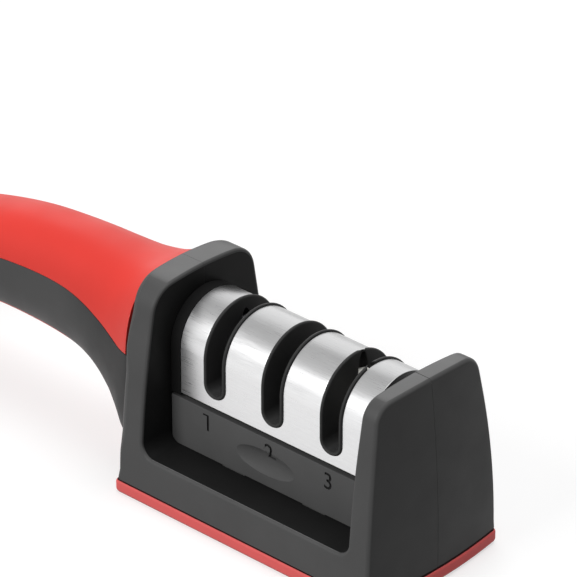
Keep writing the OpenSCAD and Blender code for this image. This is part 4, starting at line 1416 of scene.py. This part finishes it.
class SHARPENER_OT_small_parts(Operator):
    """Gives the frame's own pieces their finish: the carrier, the abrasives, the screws and the base plate"""
    bl_idname = "sharpener.small_parts"
    bl_label = "Inner parts"

    def execute(self, context):
        for part in frame["record"]["subparts"]:
            made = frame["nodes"][part["node"]]
            made.data.materials.clear()
            made.data.materials.append(material(part["material_slot"] + "_finish"))
        return {"FINISHED"}


class SHARPENER_OT_stage(Operator):
    """Sets the floor, the lamps, the world and the camera"""
    bl_idname = "sharpener.stage"
    bl_label = "Stage"

    def execute(self, context):
        scene = context.scene
        scene.view_settings.view_transform = "Standard"
        self.floor()
        self.world(scene)
        self.lamp("key", (-0.2, -0.9, 0.6), 0.5, 7.0)
        self.lamp("top", (0.05, 0.1, 0.9), 0.5, 4.0)
        self.lamp("back", (-0.6, 0.64, 0.5), 0.8, 2.4)
        self.camera(scene)
        return {"FINISHED"}

    def floor(self):
        bm = bmesh.new()
        bmesh.ops.create_grid(bm, x_segments=1, y_segments=1, size=3)
        made = loose_object("floor", bm)
        made.data.materials.append(pale_floor())

    def world(self, scene):
        """White behind the object and in its reflections, softer light on the object itself."""
        world = bpy.data.worlds.new("studio")
        scene.world = world
        world.use_nodes = True
        tree = world.node_tree
        soft = tree.nodes["Background"]
        wire(tree, soft, {"Color": WHITE, "Strength": sizes("studio").ambient})
        white = add_node(tree, "Background", {"Color": WHITE})["Background"]
        mix = add_node(tree, "MixShader", {"Fac": seen_directly(tree), 1: soft.outputs["Background"],
                                           2: white})
        wire(tree, tree.nodes["World Output"], {"Surface": mix["Shader"]})

    def lamp(self, name, where, size, power):
        """A square lamp that points at the sharpener's middle."""
        light = bpy.data.lights.new(name, "AREA")
        light.shape = "SQUARE"
        light.size = size
        light.energy = power
        made = bpy.data.objects.new(name, light)
        made.location = where
        made.rotation_euler = (Vector(LAMP_AIM) - Vector(where)).to_track_quat("-Z", "Y").to_euler()
        bpy.context.scene.collection.objects.link(made)

    def camera(self, scene):
        s = sizes("studio")
        a, e = s.azimuth, s.elevation
        right = Vector((cos(a), sin(a), 0))
        up = Vector((-sin(a) * sin(e), cos(a) * sin(e), cos(e)))
        back = Vector((sin(a) * cos(e), -cos(a) * cos(e), sin(e)))
        data = bpy.data.cameras.new("camera")
        data.sensor_width = 36
        data.lens = s.focal_pixels / s.picture * data.sensor_width
        data.clip_start = 0.05
        data.clip_end = 10
        made = bpy.data.objects.new("camera", data)
        turn = Matrix((right, up, back)).transposed().to_4x4()
        made.matrix_world = Matrix.Translation(Vector(s.aim) + back * s.distance) @ turn
        scene.collection.objects.link(made)
        scene.camera = made


def seen_directly(tree):
    """1 for rays from the camera and through or off the object's glossy surfaces."""
    path = add_node(tree, "LightPath")
    total = path["Is Camera Ray"]
    for name in ("Is Glossy Ray", "Is Transmission Ray"):
        total = add_node(tree, "Math", {0: total, 1: path[name]}, operation="MAXIMUM")["Value"]
    return total


def pale_floor():
    """Pale floor that keeps the object's shadow and is white where the lamps reach it."""
    made = bpy.data.materials.new("pale_floor")
    made.use_nodes = True
    tree = made.node_tree
    glow = {0: seen_directly(tree), 1: sizes("studio").floor_glow}
    wire(tree, tree.nodes["Principled BSDF"], {
        "Base Color": (0.45, 0.45, 0.45, 1), "Roughness": 1, "Specular IOR Level": 0, "Emission Color": WHITE,
        "Emission Strength": add_node(tree, "Math", glow, operation="MULTIPLY")["Value"]})
    return made


class SHARPENER_PT_maker(Panel):
    """Lists the sharpener's operators and sizes"""
    bl_idname = "SHARPENER_PT_maker"
    bl_label = "Sharpener"
    bl_space_type = "VIEW_3D"
    bl_region_type = "UI"
    bl_category = "Sharpener"

    def draw(self, context):
        for operator in OPERATORS:
            self.layout.operator(operator.bl_idname)
        for name in GROUPS:
            box = self.layout.box()
            group = sizes(name)
            for prop in group.bl_rna.properties.keys():
                if prop not in ("rna_type", "name"):
                    box.prop(group, prop)


OPERATORS = (SHARPENER_OT_small_parts, SHARPENER_OT_housing, SHARPENER_OT_grip, SHARPENER_OT_sole,
             SHARPENER_OT_cover, SHARPENER_OT_inserts, SHARPENER_OT_panels, SHARPENER_OT_leaf_springs,
             SHARPENER_OT_stage)
GROUPS = {"housing": HousingSizes, "handle": HandleSizes, "sole": SoleSizes, "module": ModuleSizes,
          "finishes": Finishes, "studio": Studio}


def register():
    for group in GROUPS.values():
        bpy.utils.register_class(group)
    for operator in OPERATORS:
        bpy.utils.register_class(operator)
    bpy.utils.register_class(SHARPENER_PT_maker)
    for name, group in GROUPS.items():
        setattr(bpy.types.Scene, "sharpener_" + name, PointerProperty(type=group))


def unregister():
    for name in GROUPS:
        delattr(bpy.types.Scene, "sharpener_" + name)
    bpy.utils.unregister_class(SHARPENER_PT_maker)
    for operator in reversed(OPERATORS):
        bpy.utils.unregister_class(operator)
    for group in reversed(list(GROUPS.values())):
        bpy.utils.unregister_class(group)


def main():
    register()
    for operator in OPERATORS:
        family, name = operator.bl_idname.split(".")
        getattr(getattr(bpy.ops, family), name)()


if __name__ == "__main__":
    main()
